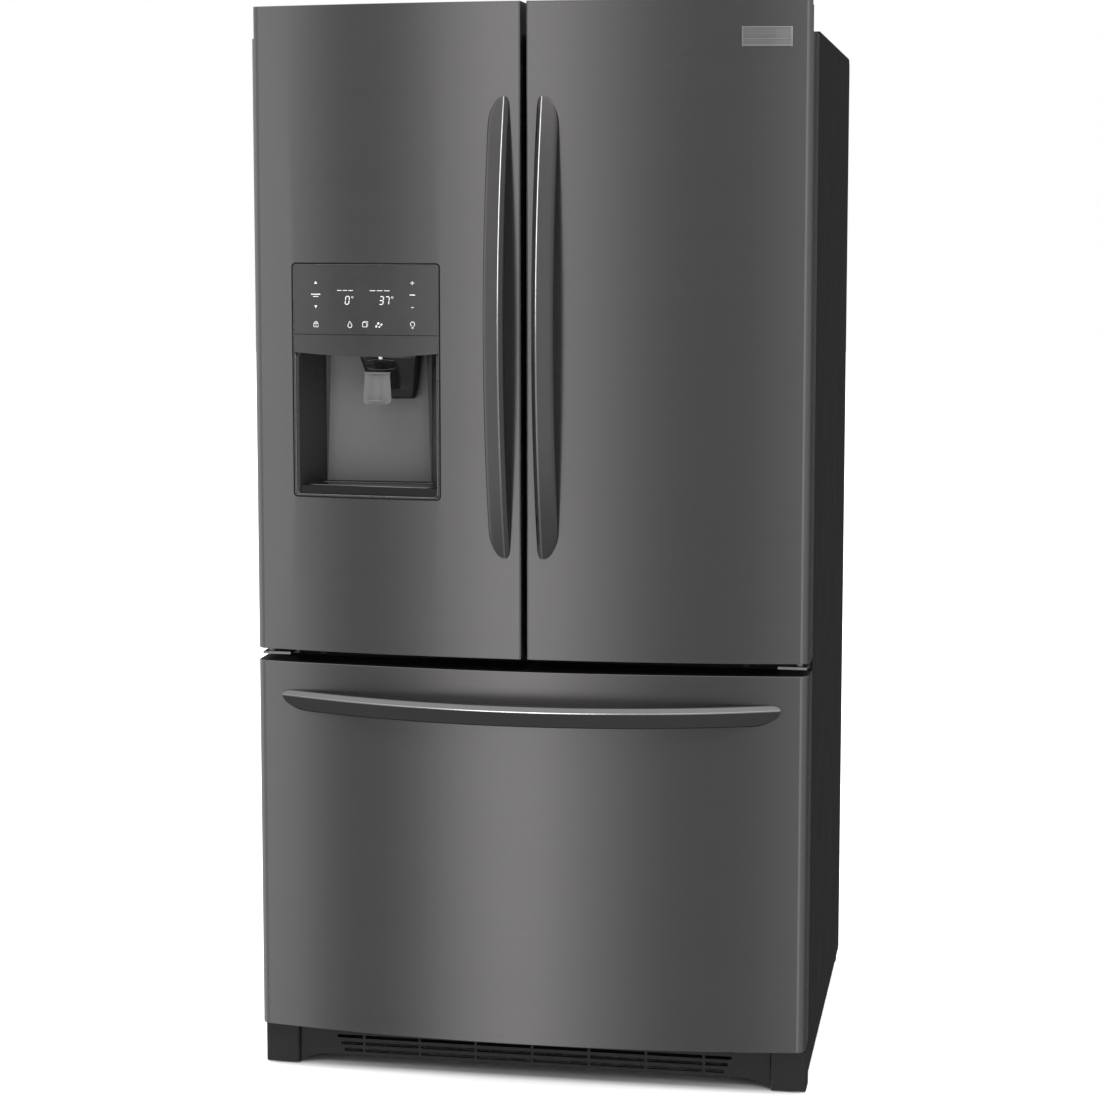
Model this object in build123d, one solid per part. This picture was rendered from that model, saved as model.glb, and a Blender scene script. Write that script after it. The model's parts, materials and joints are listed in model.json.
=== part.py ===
from build123d import *
import os
from math import sqrt, sin, cos, pi

# French door refrigerator with a bottom freezer drawer and a through-the-door dispenser.
# Working axes: X across, Y to the back, Z up, in millimetres.  Y = 0 is the plane of the doors'
# outer front edges and Z = 0 is the floor.  place() moves the finished pieces so that the origin
# is at the centre of the whole outline on the floor.

# ------------------------------------------------------------------ driving dimensions
WIDTH = 914.0            # across both doors and the cabinet
BOW = 38.0               # how far the middle of the front stands ahead of its outer edges
CABINET_FRONT = 70.0     # front plane of the cabinet
CABINET_BACK = 813.0     # rear edge of the side panels
CABINET_TOP = 1717.0
CABINET_BOTTOM = 22.0
DOOR_TOP = 1763.0        # the highest point
DOOR_BOTTOM = 715.0
DRAWER_TOP = 695.0
DRAWER_BOTTOM = 75.0
DOOR_BACK = 65.0         # rear edge of the door skins
HINGE_TOP = 1759.0       # top of the hinge covers, hidden behind the doors' top edges
DOOR_GAP = 9.0           # between the two doors
EDGE_RADIUS = 17.0       # outer vertical edges of the doors
GAP_EDGE_RADIUS = 3.0    # door edges at the middle gap
SKIN = 1.2               # stainless skin
SHEET = 1.5              # painted cabinet steel
LINER = 3.0              # moulded inner liners
HANDLE_REACH = 60.0      # handle ridge ahead of the door, at the middle
HANDLE_LENGTH = 734.0
HANDLE_MIDDLE_Z = 1247.0
DRAWER_HANDLE_LENGTH = 824.0
DRAWER_HANDLE_Z = 640.0

FRESH_Z = (750.0, 1665.0)        # fresh food compartment, floor and ceiling
FREEZER_Z = (140.0, 655.0)       # freezer compartment, floor and ceiling
ROOM_HALF = 405.0                # half the inside width of both compartments
ROOM_BACK = 745.0                # inside face of the rear walls
STEP_Y = 560.0                   # the freezer floor steps up behind this plane
STEP_Z = 330.0                   # floor height above the machine space
MACHINE_Y = 610.0                # front wall of the machine space
MACHINE_TOP = 275.0

HINGE_X = 439.0                  # door pivots
HINGE_Y = 30.0
PIN_RADIUS = 6.0
NOTCH_X, NOTCH_Y, NOTCH_Z = 400.0, 2.0, 1712.0   # each door is cut away outwards of this for its hinge
CAP = 22.0                       # depth of the door end caps
DRAWER_CAP = 12.0
DYKE = (48.0, 395.0)             # raised ridge on each door liner, inner and outer x
DYKE_WIDTH = 24.0
DYKE_BACK = 100.0                # how far back the door liner's ridge reaches
DYKE_Z = (757.0, 1658.0)
LINER_Y = 61.0                   # rear face of a door liner's flat
GASKET_BACK = 69.6
GASKET_X = 438.0                 # outer edge of the gaskets
BIN_BACK = 172.0                 # rear face of the door bins

DISPENSER_X = (-388.0, -137.5)
DISPENSER_Z = (971.0, 1351.0)
VISOR_Z = (1201.0, 1235.5)       # strip between control panel and recess
RECESS_BACK = 52.0
CHUTE_X = (-281.0, -184.0)

SLIDE_Z = (400.0, 445.0)         # drawer slides
SLIDE_Y = (110.0, 590.0)

SHELVES = ((-398.0, -5.0, 1150.0), (5.0, 398.0, 1190.0), (5.0, 398.0, 1400.0))   # x, x, height
SHELF_Y = (220.0, 715.0)
CRISPER_COVER_Z = 955.0
TRACK_X = (80.0, 392.0)

WHEEL_Y, WHEEL_RADIUS, AXLE_RADIUS = 760.0, 19.0, 4.0
LEG_X, LEG_Y, LEG_RADIUS = 421.0, 98.0, 6.0
FAN_X, FAN_Y, FAN_Z = -70.0, 705.0, 172.0
GLAND_X, GLAND_Z = 120.0, 120.0
VALVE_X, VALVE_Z = 395.0, 225.0
INLET_RADIUS = 5.56              # 7/16 inch thread of a quarter inch compression fitting

HANDLE_BROAD = (26.5, 13.0)      # handle's broad face: distance across, fall towards the door
HANDLE_NARROW = (-9.0, 8.0)
HANDLE_RIDGE_X = 30.5
HANDLE_END = 5.0                 # ridge ahead of the door at the tips
POST_FROM_END = 46.0             # mounting posts, measured from the tips
DAIRY_Y, DAIRY_Z = 69.0, 1534.5          # dairy lid pivot
MULLION_X, MULLION_Y = -22.0, 79.0       # flip mullion pivot
PADDLE_Y, PADDLE_Z = -12.0, 1172.0       # dispenser paddle pivot

HALF = WIDTH / 2
BOW_RADIUS = (HALF**2 + BOW**2) / (2 * BOW)
FRONT_MOST = -BOW - HANDLE_REACH
DEPTH_CENTRE = (CABINET_BACK + FRONT_MOST) / 2

nodes = {}


# ------------------------------------------------------------------ helpers
def block(x0, x1, y0, y1, z0, z1):
    """Plain box between two corners."""
    size = Box(abs(x1 - x0), abs(y1 - y0), abs(z1 - z0))
    return Pos((x0 + x1) / 2, (y0 + y1) / 2, (z0 + z1) / 2) * size


def rod(x, y, z0, z1, radius):
    """Upright round bar."""
    return Pos(x, y, (z0 + z1) / 2) * Cylinder(radius, z1 - z0)


def rod_x(x0, x1, y, z, radius):
    """Round bar along X."""
    return Pos((x0 + x1) / 2, y, z) * Rot(0, 90, 0) * Cylinder(radius, abs(x1 - x0))


def rod_y(x, y0, y1, z, radius):
    """Round bar along Y."""
    return Pos(x, (y0 + y1) / 2, z) * Rot(90, 0, 0) * Cylinder(radius, abs(y1 - y0))


def prism(points, x0, x1):
    """A closed outline in Y and Z, drawn out along X."""
    outline = Polyline([(x0, y, z) for y, z in points], close=True)
    return extrude(make_face(outline), abs(x1 - x0), dir=(1, 0, 0))


def frustum(near, near_y, far, far_y):
    """Solid between two upright rectangles (x0, x1, z0, z1) at two depths."""
    faces = []
    for (x0, x1, z0, z1), y in ((near, near_y), (far, far_y)):
        corners = [(x0, y, z0), (x1, y, z0), (x1, y, z1), (x0, y, z1)]
        faces.append(make_face(Polyline(corners, close=True)))
    return loft(faces)


def ring(x0, x1, z0, z1, width, y0, y1):
    """Rectangular frame seen from the front."""
    inner = block(x0 + width, x1 - width, y0 - 1, y1 + 1, z0 + width, z1 - width)
    return block(x0, x1, y0, y1, z0, z1) - inner


def tub(x0, x1, y0, y1, z0, z1, wall):
    """Box open at the top."""
    inner = block(x0 + wall, x1 - wall, y0 + wall, y1 - wall, z0 + wall, z1 + 1)
    return block(x0, x1, y0, y1, z0, z1) - inner


def flip(shape):
    """The same piece on the other side of the middle plane."""
    return mirror(shape, about=Plane.YZ)


def both(shape):
    """A piece and its opposite number."""
    return [shape, flip(shape)]


def front_y(x, inset=0.0):
    """The bowed front surface at x, moved inwards by inset."""
    return -BOW + BOW_RADIUS - sqrt((BOW_RADIUS - inset)**2 - x**2)


def bowed(x0, x1, z0, z1, inset, back, round_left, round_right):
    """Upright slab with the bowed front, its outside pulled in by inset."""
    left, right = x0 + inset, x1 - inset
    middle = (left + right) / 2
    path = Curve() + [
        Line((left, back), (left, front_y(left, inset))),
        ThreePointArc((left, front_y(left, inset)), (middle, front_y(middle, inset)),
                      (right, front_y(right, inset))),
        Line((right, front_y(right, inset)), (right, back)),
        Line((right, back), (left, back)),
    ]
    slab = Pos(0, 0, z0) * extrude(make_face(path), z1 - z0)
    for x, radius in ((left, round_left), (right, round_right)):
        y = front_y(x, inset)
        corner = [edge for edge in slab.edges().filter_by(Axis.Z)
                  if abs(edge.center().X - x) < 0.1 and abs(edge.center().Y - y) < 0.1]
        slab = fillet(corner, max(radius - inset, 0.6))
    return slab


def door_slab(z0, z1, inset=0.0, back=DOOR_BACK):
    """Right-hand door's outside form."""
    return bowed(DOOR_GAP / 2, HALF, z0, z1, inset, back, GAP_EDGE_RADIUS, EDGE_RADIUS)


def drawer_slab(z0, z1, inset=0.0, back=DOOR_BACK):
    """Freezer drawer front's outside form, and the whole front's for flush pieces."""
    return bowed(-HALF, HALF, z0, z1, inset, back, EDGE_RADIUS, EDGE_RADIUS)


def handle_bar(length, ridge_middle, ridge_end):
    """Bowed upright bar with an off-centre ridge and pointed ends.

    The ridge stands at x = 0 and reaches from y = ridge_end at the tips to y = ridge_middle.  The
    broad face falls away on the +X side and the narrow one on the -X side.
    """
    end, thick, tip = length / 2, 6.0, 52.0
    inner_middle, inner_end = ridge_middle + thick, ridge_end + thick
    crescent = Curve() + [
        ThreePointArc((0, ridge_end, -end), (0, ridge_middle, 0), (0, ridge_end, end)),
        Line((0, ridge_end, end), (0, inner_end, end)),
        ThreePointArc((0, inner_end, end), (0, inner_middle, 0), (0, inner_end, -end)),
        Line((0, inner_end, -end), (0, ridge_end, -end)),
    ]
    face = make_face(crescent)
    wings = [extrude(face, sqrt(across**2 + fall**2), dir=(across, fall, 0))
             for across, fall in (HANDLE_BROAD, HANDLE_NARROW)]
    bar = wings[0] + wings[1]
    broad, narrow, point = HANDLE_BROAD[0], HANDLE_NARROW[0], 5.0
    outline = Curve() + [
        Line((narrow, 0, tip - end), (narrow, 0, end - tip)),
        ThreePointArc((narrow, 0, end - tip), (narrow + 3.6, 0, end - tip * 0.45), (point, 0, end)),
        ThreePointArc((point, 0, end), (broad - 6, 0, end - tip * 0.45), (broad, 0, end - tip)),
        Line((broad, 0, end - tip), (broad, 0, tip - end)),
        ThreePointArc((broad, 0, tip - end), (broad - 6, 0, tip * 0.45 - end), (point, 0, -end)),
        ThreePointArc((point, 0, -end), (narrow + 3.6, 0, tip * 0.45 - end), (narrow, 0, tip - end)),
    ]
    return bar & (Pos(0, -200, 0) * extrude(make_face(outline), 400, dir=(0, 1, 0)))


def serpentine(rows, x0, x1, y, z0, pitch, radius):
    """Tube that runs to and fro across the width, climbing one pitch at each turn."""
    points = []
    for row in range(rows):
        ends = (x0, x1) if row % 2 == 0 else (x1, x0)
        points += [(ends[0], y, z0 + row * pitch), (ends[1], y, z0 + row * pitch)]
    route = FilletPolyline(*points, radius=pitch / 2 - 0.5)
    start = Plane(origin=route @ 0, z_dir=route % 0)
    return sweep(start * Circle(radius), path=route)


def solids_of(shapes):
    """All the solids in a shape or in nested lists of shapes."""
    if isinstance(shapes, (list, tuple)):
        return [solid for shape in shapes for solid in solids_of(shape)]
    return list(shapes.solids())


def add(name, *shapes):
    """Record a node made of one or more separate solids."""
    nodes[name] = solids_of(shapes)


# ------------------------------------------------------------------ cabinet
def cabinet_wrapper():
    """Painted steel sides and top."""
    corner = 22.0
    outline = [(CABINET_FRONT, CABINET_BOTTOM), (CABINET_BACK, CABINET_BOTTOM),
               (CABINET_BACK, CABINET_TOP), (CABINET_FRONT, CABINET_TOP)]
    side = prism(outline, HALF - SHEET, HALF)
    rear_top = [edge for edge in side.edges().filter_by(Axis.X)
                if edge.center().Y > CABINET_BACK - 1 and edge.center().Z > CABINET_TOP - 1]
    side = fillet(rear_top, corner)
    inner = HALF - SHEET
    top = block(-inner, inner, CABINET_FRONT + SHEET, CABINET_BACK - corner,
                CABINET_TOP - SHEET, CABINET_TOP)
    add("cabinet_wrapper", both(side), top)


def rear_panel():
    """Back sheet that rolls over into the top."""
    corner = 22.0
    inner = HALF - SHEET
    y1, z1 = CABINET_BACK, CABINET_TOP
    outer_arc = ThreePointArc((0, y1, z1 - corner), (0, y1 - corner * (1 - cos(pi / 4)),
                              z1 - corner * (1 - cos(pi / 4))), (0, y1 - corner, z1))
    small = corner - SHEET
    inner_arc = ThreePointArc((0, y1 - corner, z1 - SHEET),
                              (0, y1 - corner + small * sin(pi / 4), z1 - corner + small * sin(pi / 4)),
                              (0, y1 - SHEET, z1 - corner))
    outline = Curve() + [
        Line((0, y1, MACHINE_TOP), (0, y1, z1 - corner)),
        outer_arc,
        Line((0, y1 - corner, z1), (0, y1 - corner, z1 - SHEET)),
        inner_arc,
        Line((0, y1 - SHEET, z1 - corner), (0, y1 - SHEET, MACHINE_TOP)),
        Line((0, y1 - SHEET, MACHINE_TOP), (0, y1, MACHINE_TOP)),
    ]
    sheet = extrude(make_face(outline), 2 * inner, dir=(1, 0, 0))
    add("rear_panel", Pos(-inner, 0, 0) * sheet)


def face_frame():
    """Steel strips around the two openings, where the gaskets seal."""
    outer = HALF - SHEET
    y0, y1 = CABINET_FRONT, CABINET_FRONT + SHEET
    stile = block(ROOM_HALF, outer, y0, y1, 76, CABINET_TOP)
    rails = [block(-ROOM_HALF, ROOM_HALF, y0, y1, z0, z1)
             for z0, z1 in ((FRESH_Z[1], CABINET_TOP), (FREEZER_Z[1], FRESH_Z[0]), (76, FREEZER_Z[0]))]
    add("face_frame", both(stile), rails)


def room(half, z0, z1, y1):
    """Open-fronted space behind the face frame."""
    return block(-half, half, CABINET_FRONT + SHEET, y1, z0, z1)


def freezer_room(grow):
    """Freezer space with its step over the machine space, grown on all closed sides."""
    half = ROOM_HALF + grow
    front = room(half, FREEZER_Z[0] - grow, FREEZER_Z[1] + grow, STEP_Y + grow)
    rear = block(-half, half, STEP_Y, ROOM_BACK + grow, STEP_Z - grow, FREEZER_Z[1] + grow)
    return front + rear


def liners():
    """White moulded boxes that form the two compartments."""
    outer = room(ROOM_HALF + LINER, FRESH_Z[0] - LINER, FRESH_Z[1] + LINER, ROOM_BACK + LINER)
    inner = block(-ROOM_HALF, ROOM_HALF, 0, ROOM_BACK, FRESH_Z[0], FRESH_Z[1])
    add("fresh_food_liner", outer - inner)
    opening = block(-ROOM_HALF, ROOM_HALF, 0, CABINET_FRONT + 5, FREEZER_Z[0], FREEZER_Z[1])
    add("freezer_liner", freezer_room(LINER) - freezer_room(0) - opening)


def foam_insulation():
    """Foamed-in-place insulation between the liners and the shell."""
    outer = HALF - SHEET
    corner = 22.0
    body = block(-outer, outer, CABINET_FRONT + SHEET, CABINET_BACK - SHEET, 78, CABINET_TOP - SHEET)
    body -= block(-outer - 1, outer + 1, MACHINE_Y, CABINET_BACK, 70, MACHINE_TOP)
    body -= block(-outer - 1, outer + 1, CABINET_BACK - corner, CABINET_BACK, CABINET_TOP - corner,
                  CABINET_TOP)
    body -= room(ROOM_HALF + LINER, FRESH_Z[0] - LINER, FRESH_Z[1] + LINER, ROOM_BACK + LINER)
    body -= freezer_room(LINER)
    add("foam_insulation", body)


def base_frame():
    """Steel base: deck, side channels, wheel axles, leg bosses and fan bracket."""
    outer = HALF - SHEET
    deck = block(-outer, outer, 75, CABINET_BACK - 20, 72, 76)
    frame = deck + block(-outer, outer, 75, 79, 30, 72)
    frame += block(-outer, outer, CABINET_BACK - 24, CABINET_BACK - 20, 40, 72)
    for side in (-1, 1):
        frame += block(side * outer, side * (outer - 3), 75, CABINET_BACK - 20, 26, 72)
        frame += block(side * 379, side * 376, 75, CABINET_BACK - 20, 26, 72)
        frame += rod_x(side * 376, side * outer, WHEEL_Y, WHEEL_RADIUS, AXLE_RADIUS)
        frame += block(side * 376, side * 379, WHEEL_Y - 12, WHEEL_Y + 12, 10, 30)
        frame += block(side * outer, side * (outer - 3), WHEEL_Y - 12, WHEEL_Y + 12, 10, 30)
        frame += rod(side * LEG_X, LEG_Y, 46, 72, 13)
        frame -= rod(side * LEG_X, LEG_Y, 40, 70, LEG_RADIUS + 0.5)
    bracket = block(FAN_X + 32, FAN_X + 38, FAN_Y - 20, FAN_Y + 20, 76, FAN_Z + 24)
    motor = rod_x(FAN_X + 8, FAN_X + 32, FAN_Y, FAN_Z, 22)
    spindle = rod_x(FAN_X - 14, FAN_X + 8, FAN_Y, FAN_Z, 3)
    add("base_frame", frame + bracket + motor + spindle)


def rollers_and_legs():
    """Rear wheels on fixed axles and two screw-in front legs."""
    wheel = rod_x(403, 429, WHEEL_Y, WHEEL_RADIUS, WHEEL_RADIUS)
    wheel = fillet(wheel.edges(), 2)
    wheel -= rod_x(400, 432, WHEEL_Y, WHEEL_RADIUS, AXLE_RADIUS + 0.4)
    add("rear_rollers", both(wheel))
    leg = rod(LEG_X, LEG_Y, 0, 8, 18)
    leg = fillet(leg.edges().group_by(Axis.Z)[-1], 3)
    leg += Pos(LEG_X, LEG_Y, 13) * extrude(RegularPolygon(11, 6), 9)
    leg += rod(LEG_X, LEG_Y, 8, 66, LEG_RADIUS)
    add("leg_right", leg)
    add("leg_left", flip(leg))


def toe_grille():
    """Black plinth: slotted grille between two foot covers that sweep down to the floor."""
    foot_x, cover_top, cover_bottom = 399.0, 69.0, 2.5
    grille_half, grille_bottom, grille_top = 398.0, 18.0, 70.0
    front, back = 30.0, 35.0
    plate = block(-grille_half, grille_half, front, back, grille_bottom, grille_top)
    for row in range(4):
        z = 26.5 + row * 11.5
        reach = 338.0 - 6.0 * (3 - row)
        slot = block(-reach, reach, front - 5, back + 5, z - 2.8, z + 2.8)
        for end in (-reach, reach):
            slot += rod_y(end, front - 5, back + 5, z, 2.8)
        for rib in range(-3, 4):
            slot -= block(rib * 96 - 2, rib * 96 + 2, front - 6, back + 6, z - 4, z + 4)
        plate -= slot
    for side in (-1, 1):
        curve = Curve() + [
            Line((side * foot_x, front, cover_bottom), (side * foot_x, front, grille_bottom + 2)),
            Line((side * foot_x, front, grille_bottom + 2), (side * 340, front, grille_bottom + 2)),
            Line((side * 340, front, grille_bottom + 2), (side * 340, front, grille_bottom)),
            ThreePointArc((side * 340, front, grille_bottom), (side * 378, front, 13.2),
                          (side * foot_x, front, cover_bottom)),
        ]
        plate += extrude(make_face(curve), back - front, dir=(0, 1, 0))
        plate += block(side * (grille_half - 4), side * grille_half, back, 75, 34, grille_top)
    cover = block(foot_x, HALF, 22, 69.5, cover_bottom, cover_top)
    rounded = [edge for edge in cover.edges().filter_by(Axis.Z) if edge.center().Y < 23]
    cover = fillet(rounded, 5)
    cover -= block(foot_x + 3, HALF - 3, 25, 80, 0, cover_top - 3)
    add("toe_grille", plate, both(cover))


def hinge_parts():
    """Upper hinge brackets with pins, centre brackets with pins, and their screws."""
    plate_top = CABINET_TOP + 4
    plate = block(HINGE_X - 22, HINGE_X + 7, HINGE_Y - 15, 58, CABINET_TOP, plate_top)
    plate += block(HINGE_X - 22, HINGE_X - 6, 58, 95, CABINET_TOP, plate_top)
    plate += block(HINGE_X - 40, HINGE_X - 6, 95, 165, CABINET_TOP, plate_top)
    plate += rod(HINGE_X, HINGE_Y, NOTCH_Z - 18, CABINET_TOP, PIN_RADIUS)
    centre_z = (DOOR_BOTTOM + DRAWER_TOP) / 2
    centre = block(HINGE_X - 34, HINGE_X + 13, HINGE_Y - 15, CABINET_FRONT, centre_z - 2, centre_z + 2)
    centre += block(HINGE_X - 34, HINGE_X + 13, CABINET_FRONT - 3, CABINET_FRONT, 697, 713)
    centre += rod(HINGE_X, HINGE_Y, centre_z, DOOR_BOTTOM + 18, PIN_RADIUS)
    for y in (112, 148):
        plate += rod(HINGE_X - 12, y, plate_top, plate_top + 2.4, 5.5)
    add("hinge_brackets", both(plate), both(centre))


def hinge_covers():
    """Plastic covers over the upper hinges, drawn in behind the doors' outer edges."""
    x0, x1, wall = HINGE_X - 46, HINGE_X - 2, 2.5
    front_x, front_y0, elbow_y = HINGE_X + 9, HINGE_Y - 18, 76
    outline = Polyline((x0, 185), (x0, elbow_y), (HINGE_X - 27, elbow_y), (HINGE_X - 27, front_y0),
                       (front_x, front_y0), (front_x, 62), (x1, elbow_y + 12), (x1, 185), (x0, 185))
    shell = extrude(Pos(0, 0, CABINET_TOP) * make_face(outline), HINGE_TOP - CABINET_TOP)
    shell += block(HINGE_X - 27, front_x, front_y0, CABINET_FRONT - 0.5, NOTCH_Z + 1.5, CABINET_TOP)
    shell = fillet(shell.edges().group_by(Axis.Z)[-1], 2.0)
    hollow = block(x0 + wall, x1 - 1.5, elbow_y + wall, 185 - wall, CABINET_TOP - 5, HINGE_TOP - wall)
    hollow += block(HINGE_X - 27 + wall, front_x - 1, front_y0 + wall, 62, NOTCH_Z, HINGE_TOP - wall)
    hollow += block(HINGE_X - 27 + wall, x1 - 1.5, 60, 82, CABINET_TOP - 5, HINGE_TOP - wall)
    add("hinge_covers", both(shell - hollow))


# ------------------------------------------------------------------ inside the fresh food space
def shelves():
    """Cantilevered shelves, the crisper cover and the rear tracks."""
    panes, frames = [], []
    rim, thick = 14.0, 14.0
    levels = [(x0, x1, SHELF_Y[0], z) for x0, x1, z in SHELVES]
    levels.append((-398.0, 398.0, 196.0, CRISPER_COVER_Z))
    for x0, x1, y0, z in levels:
        frame = block(x0, x1, y0, SHELF_Y[1], z - thick / 2, z + thick / 2)
        frame -= block(x0 + rim, x1 - rim, y0 + rim, SHELF_Y[1] - rim, z - thick, z + thick)
        lip = block(x0 + rim, x1 - rim, y0 + rim, SHELF_Y[1] - rim, z - 1, z + 1)
        lip -= block(x0 + rim + 5, x1 - rim - 5, y0 + rim + 5, SHELF_Y[1] - rim - 5, z - 2, z + 2)
        frame += lip
        panes.append(block(x0 + rim, x1 - rim, y0 + rim, SHELF_Y[1] - rim, z + 1, z + 5))
        if z == CRISPER_COVER_Z:
            frames.append(block(-3, 3, 240, 690, FRESH_Z[0], z - thick / 2))
        else:
            side = 1 if x0 > 0 else -1
            arm = [(737, z - 45), (737, z - thick / 2), (400, z - thick / 2), (400, z - 16)]
            frames += [prism(arm, side * x - 1.5, side * x + 1.5) for x in TRACK_X]
        frames.append(frame)
    tracks = [block(side * x - 5, side * x + 5, 737, ROOM_BACK, 975, 1610)
              for side in (-1, 1) for x in TRACK_X]
    add("shelf_glass", panes)
    add("shelf_frames", frames, tracks)


def crispers():
    """Two clear drawers side by side on the compartment floor."""
    x0, x1, y0, y1, z0, z1 = 8.0, 378.0, 200.0, 655.0, FRESH_Z[0] + 1.0, 932.0
    drawer = tub(x0, x1, y0, y1, z0, z1, 3.0)
    drawer += block(x0, x1, y0 - 12, y0, z1 - 34, z1)
    drawer -= block(x0 + 60, x1 - 60, y0 - 9, y0 - 0.5, z1 - 40, z1 - 6)
    add("crisper_right", drawer)
    add("crisper_left", flip(drawer))


def ice_maker():
    """Ice maker and its bin in the upper left corner, with the spout that meets the door."""
    x0, x1, y0, y1, z0, z1 = -398.0, -160.0, 180.0, 640.0, 1330.0, FRESH_Z[1]
    spout = (-282.0, -183.0, z0, 1402.0)
    shell = block(x0, x1, y0, y1, z0, z1)
    rim = [edge for edge in shell.edges().filter_by(Axis.Z) if edge.center().Y < y0 + 1]
    shell = fillet(rim, 10)
    shell += block(spout[0], spout[1], DYKE_BACK + 1, y0 + 5, spout[2], spout[3])
    shell -= block(x0 + 4, x1 - 4, y0 + 4, y1 - 4, z0 + 4, z1 - 4)
    shell -= block(spout[0] + 4, spout[1] - 4, 90, y0 + 10, spout[2] + 4, spout[3] - 4)
    shell -= block(x0 + 30, x1 - 30, y0 - 1, y0 + 1.5, 1500, 1530)
    auger = rod_y(-232, y0 + 30, y1 - 60, 1372, 8)
    for turn in range(9):
        paddle = Rot(90, 0, 40 * turn) * Rot(12, 0, 0) * Cylinder(27, 4)
        auger += Pos(-232, y0 + 50 + turn * 38, 1372) * paddle
    tray = block(-380, -180, y0 + 120, y1 - 40, 1560, 1600)
    for cube in range(7):
        y = y0 + 135 + cube * 40
        tray -= block(-365, -195, y, y + 32, 1570, 1601)
    tray += block(-394, -380, y0 + 200, y0 + 260, 1565, 1595)
    add("ice_maker", shell, tray)
    add("ice_auger", auger)


def air_parts():
    """Rear air duct cover, freezer evaporator cover."""
    duct = block(-70, 70, 722, ROOM_BACK, 975, 1640)
    duct = fillet([e for e in duct.edges().filter_by(Axis.Z) if e.center().Y < 723], 8)
    duct -= block(-66, 66, 727, ROOM_BACK - 2, 980, 1635)
    for level in range(5):
        z = 1020 + level * 130
        for row in range(4):
            duct -= block(-48, 48, 700, 730, z + row * 12, z + row * 12 + 6)
    cover = block(-ROOM_HALF, ROOM_HALF, 690, 694, STEP_Z, FREEZER_Z[1])
    for row in range(6):
        for column in range(-1, 2):
            x = column * 230
            cover -= block(x - 80, x + 80, 680, 700, 580 + row * 11, 585 + row * 11)
    add("air_covers", duct, cover)


def inside_fittings():
    """Ceiling light and water filter."""
    lens = block(-140, 140, 260, 350, FRESH_Z[1] - 11, FRESH_Z[1])
    lens = fillet(lens.edges().group_by(Axis.Z)[0], 5)
    add("ceiling_light", lens)
    body = block(302, 392, 230, 520, 1590, FRESH_Z[1])
    body = fillet([e for e in body.edges().filter_by(Axis.Y) if e.center().Z < 1600], 18)
    body -= rod_y(347, 225, 500, 1627, 32)
    cartridge = rod_y(347, 214, 498, 1627, 31)
    cartridge += block(343, 351, 204, 214, 1604, 1650)
    add("water_filter", body, cartridge)


# ------------------------------------------------------------------ machine space and cooling
def cooling_parts():
    """Compressor, condenser, evaporator, rear cover, valve and cord gland."""
    x, y, z = 255.0, 700.0, 95.0
    pot = Pos(x, y, z + 60) * Cylinder(78, 120)
    pot = fillet(pot.edges(), 34)
    pot += Pos(x, y, z + 66) * Cylinder(81, 6)
    for dx in (-70, 70):
        for dy in (-52, 52):
            pot += rod(x + dx, y + dy, 76, 96, 9)
    pot += block(x - 85, x + 85, y - 62, y + 62, 92, 97)
    pot += rod_x(x - 98, x - 70, y, z + 92, 4)
    pot += block(x + 60, x + 100, y - 28, y + 28, z + 30, z + 85)
    add("compressor", pot)
    condenser = [serpentine(9, -405, -180, 640 + 28 * layer, 86, 20, 3) for layer in range(5)]
    evaporator = serpentine(10, -300, 300, 722, 360, 22, 4)
    plates = [block(x - 0.5, x + 0.5, 703, 741, 348, 570) for x in (-270, 0, 270)]
    for plate in plates:
        evaporator += plate
    add("cooling_coils", condenser, evaporator)
    y0 = CABINET_BACK - 18
    cover = block(-HALF + SHEET, HALF - SHEET, y0, y0 + 2, 77, MACHINE_TOP - 0.5)
    for row in range(9):
        z_low = 100 + row * 17
        cover -= block(-400, -190, y0 - 5, y0 + 5, z_low, z_low + 7)
        cover -= block(-110, 40, y0 - 5, y0 + 5, z_low, z_low + 7)
    cover -= rod_y(GLAND_X, y0 - 5, y0 + 5, GLAND_Z, 9.5)
    cover -= rod_y(VALVE_X, y0 - 5, y0 + 5, VALVE_Z, 12.5)
    add("machine_cover", cover)
    gland = rod_y(GLAND_X, y0 - 8, CABINET_BACK - 4, GLAND_Z, 9)
    gland += rod_y(GLAND_X, y0 + 2, y0 + 6, GLAND_Z, 13)
    gland -= rod_y(GLAND_X, y0 - 20, CABINET_BACK, GLAND_Z, 4.5)
    valve = block(VALVE_X - 24, VALVE_X + 24, y0 - 62, y0 - 14, VALVE_Z - 22, VALVE_Z + 22)
    valve += rod_y(VALVE_X, y0 - 14, y0 - 2, VALVE_Z, 11.8)
    valve += rod_y(VALVE_X, y0 - 2, CABINET_BACK - 1, VALVE_Z, INLET_RADIUS)
    valve += block(VALVE_X - 5, VALVE_X + 5, y0 - 60, y0 - 20, 76, VALVE_Z - 22)
    valve += rod(VALVE_X - 10, y0 - 40, VALVE_Z + 22, VALVE_Z + 44, 15)
    add("rear_connections", gland, valve)
    fan = rod_x(FAN_X - 12, FAN_X + 2, FAN_Y, FAN_Z, 20)
    for blade in range(5):
        wing = Pos(FAN_X - 5, FAN_Y, FAN_Z) * Rot(72 * blade, 0, 0)
        fan += wing * (Pos(0, 0, 44) * Rot(0, 0, 32) * Box(2.4, 40, 56))
    fan -= rod_x(FAN_X - 20, FAN_X + 10, FAN_Y, FAN_Z, 3.5)
    add("condenser_fan", fan)


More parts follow.
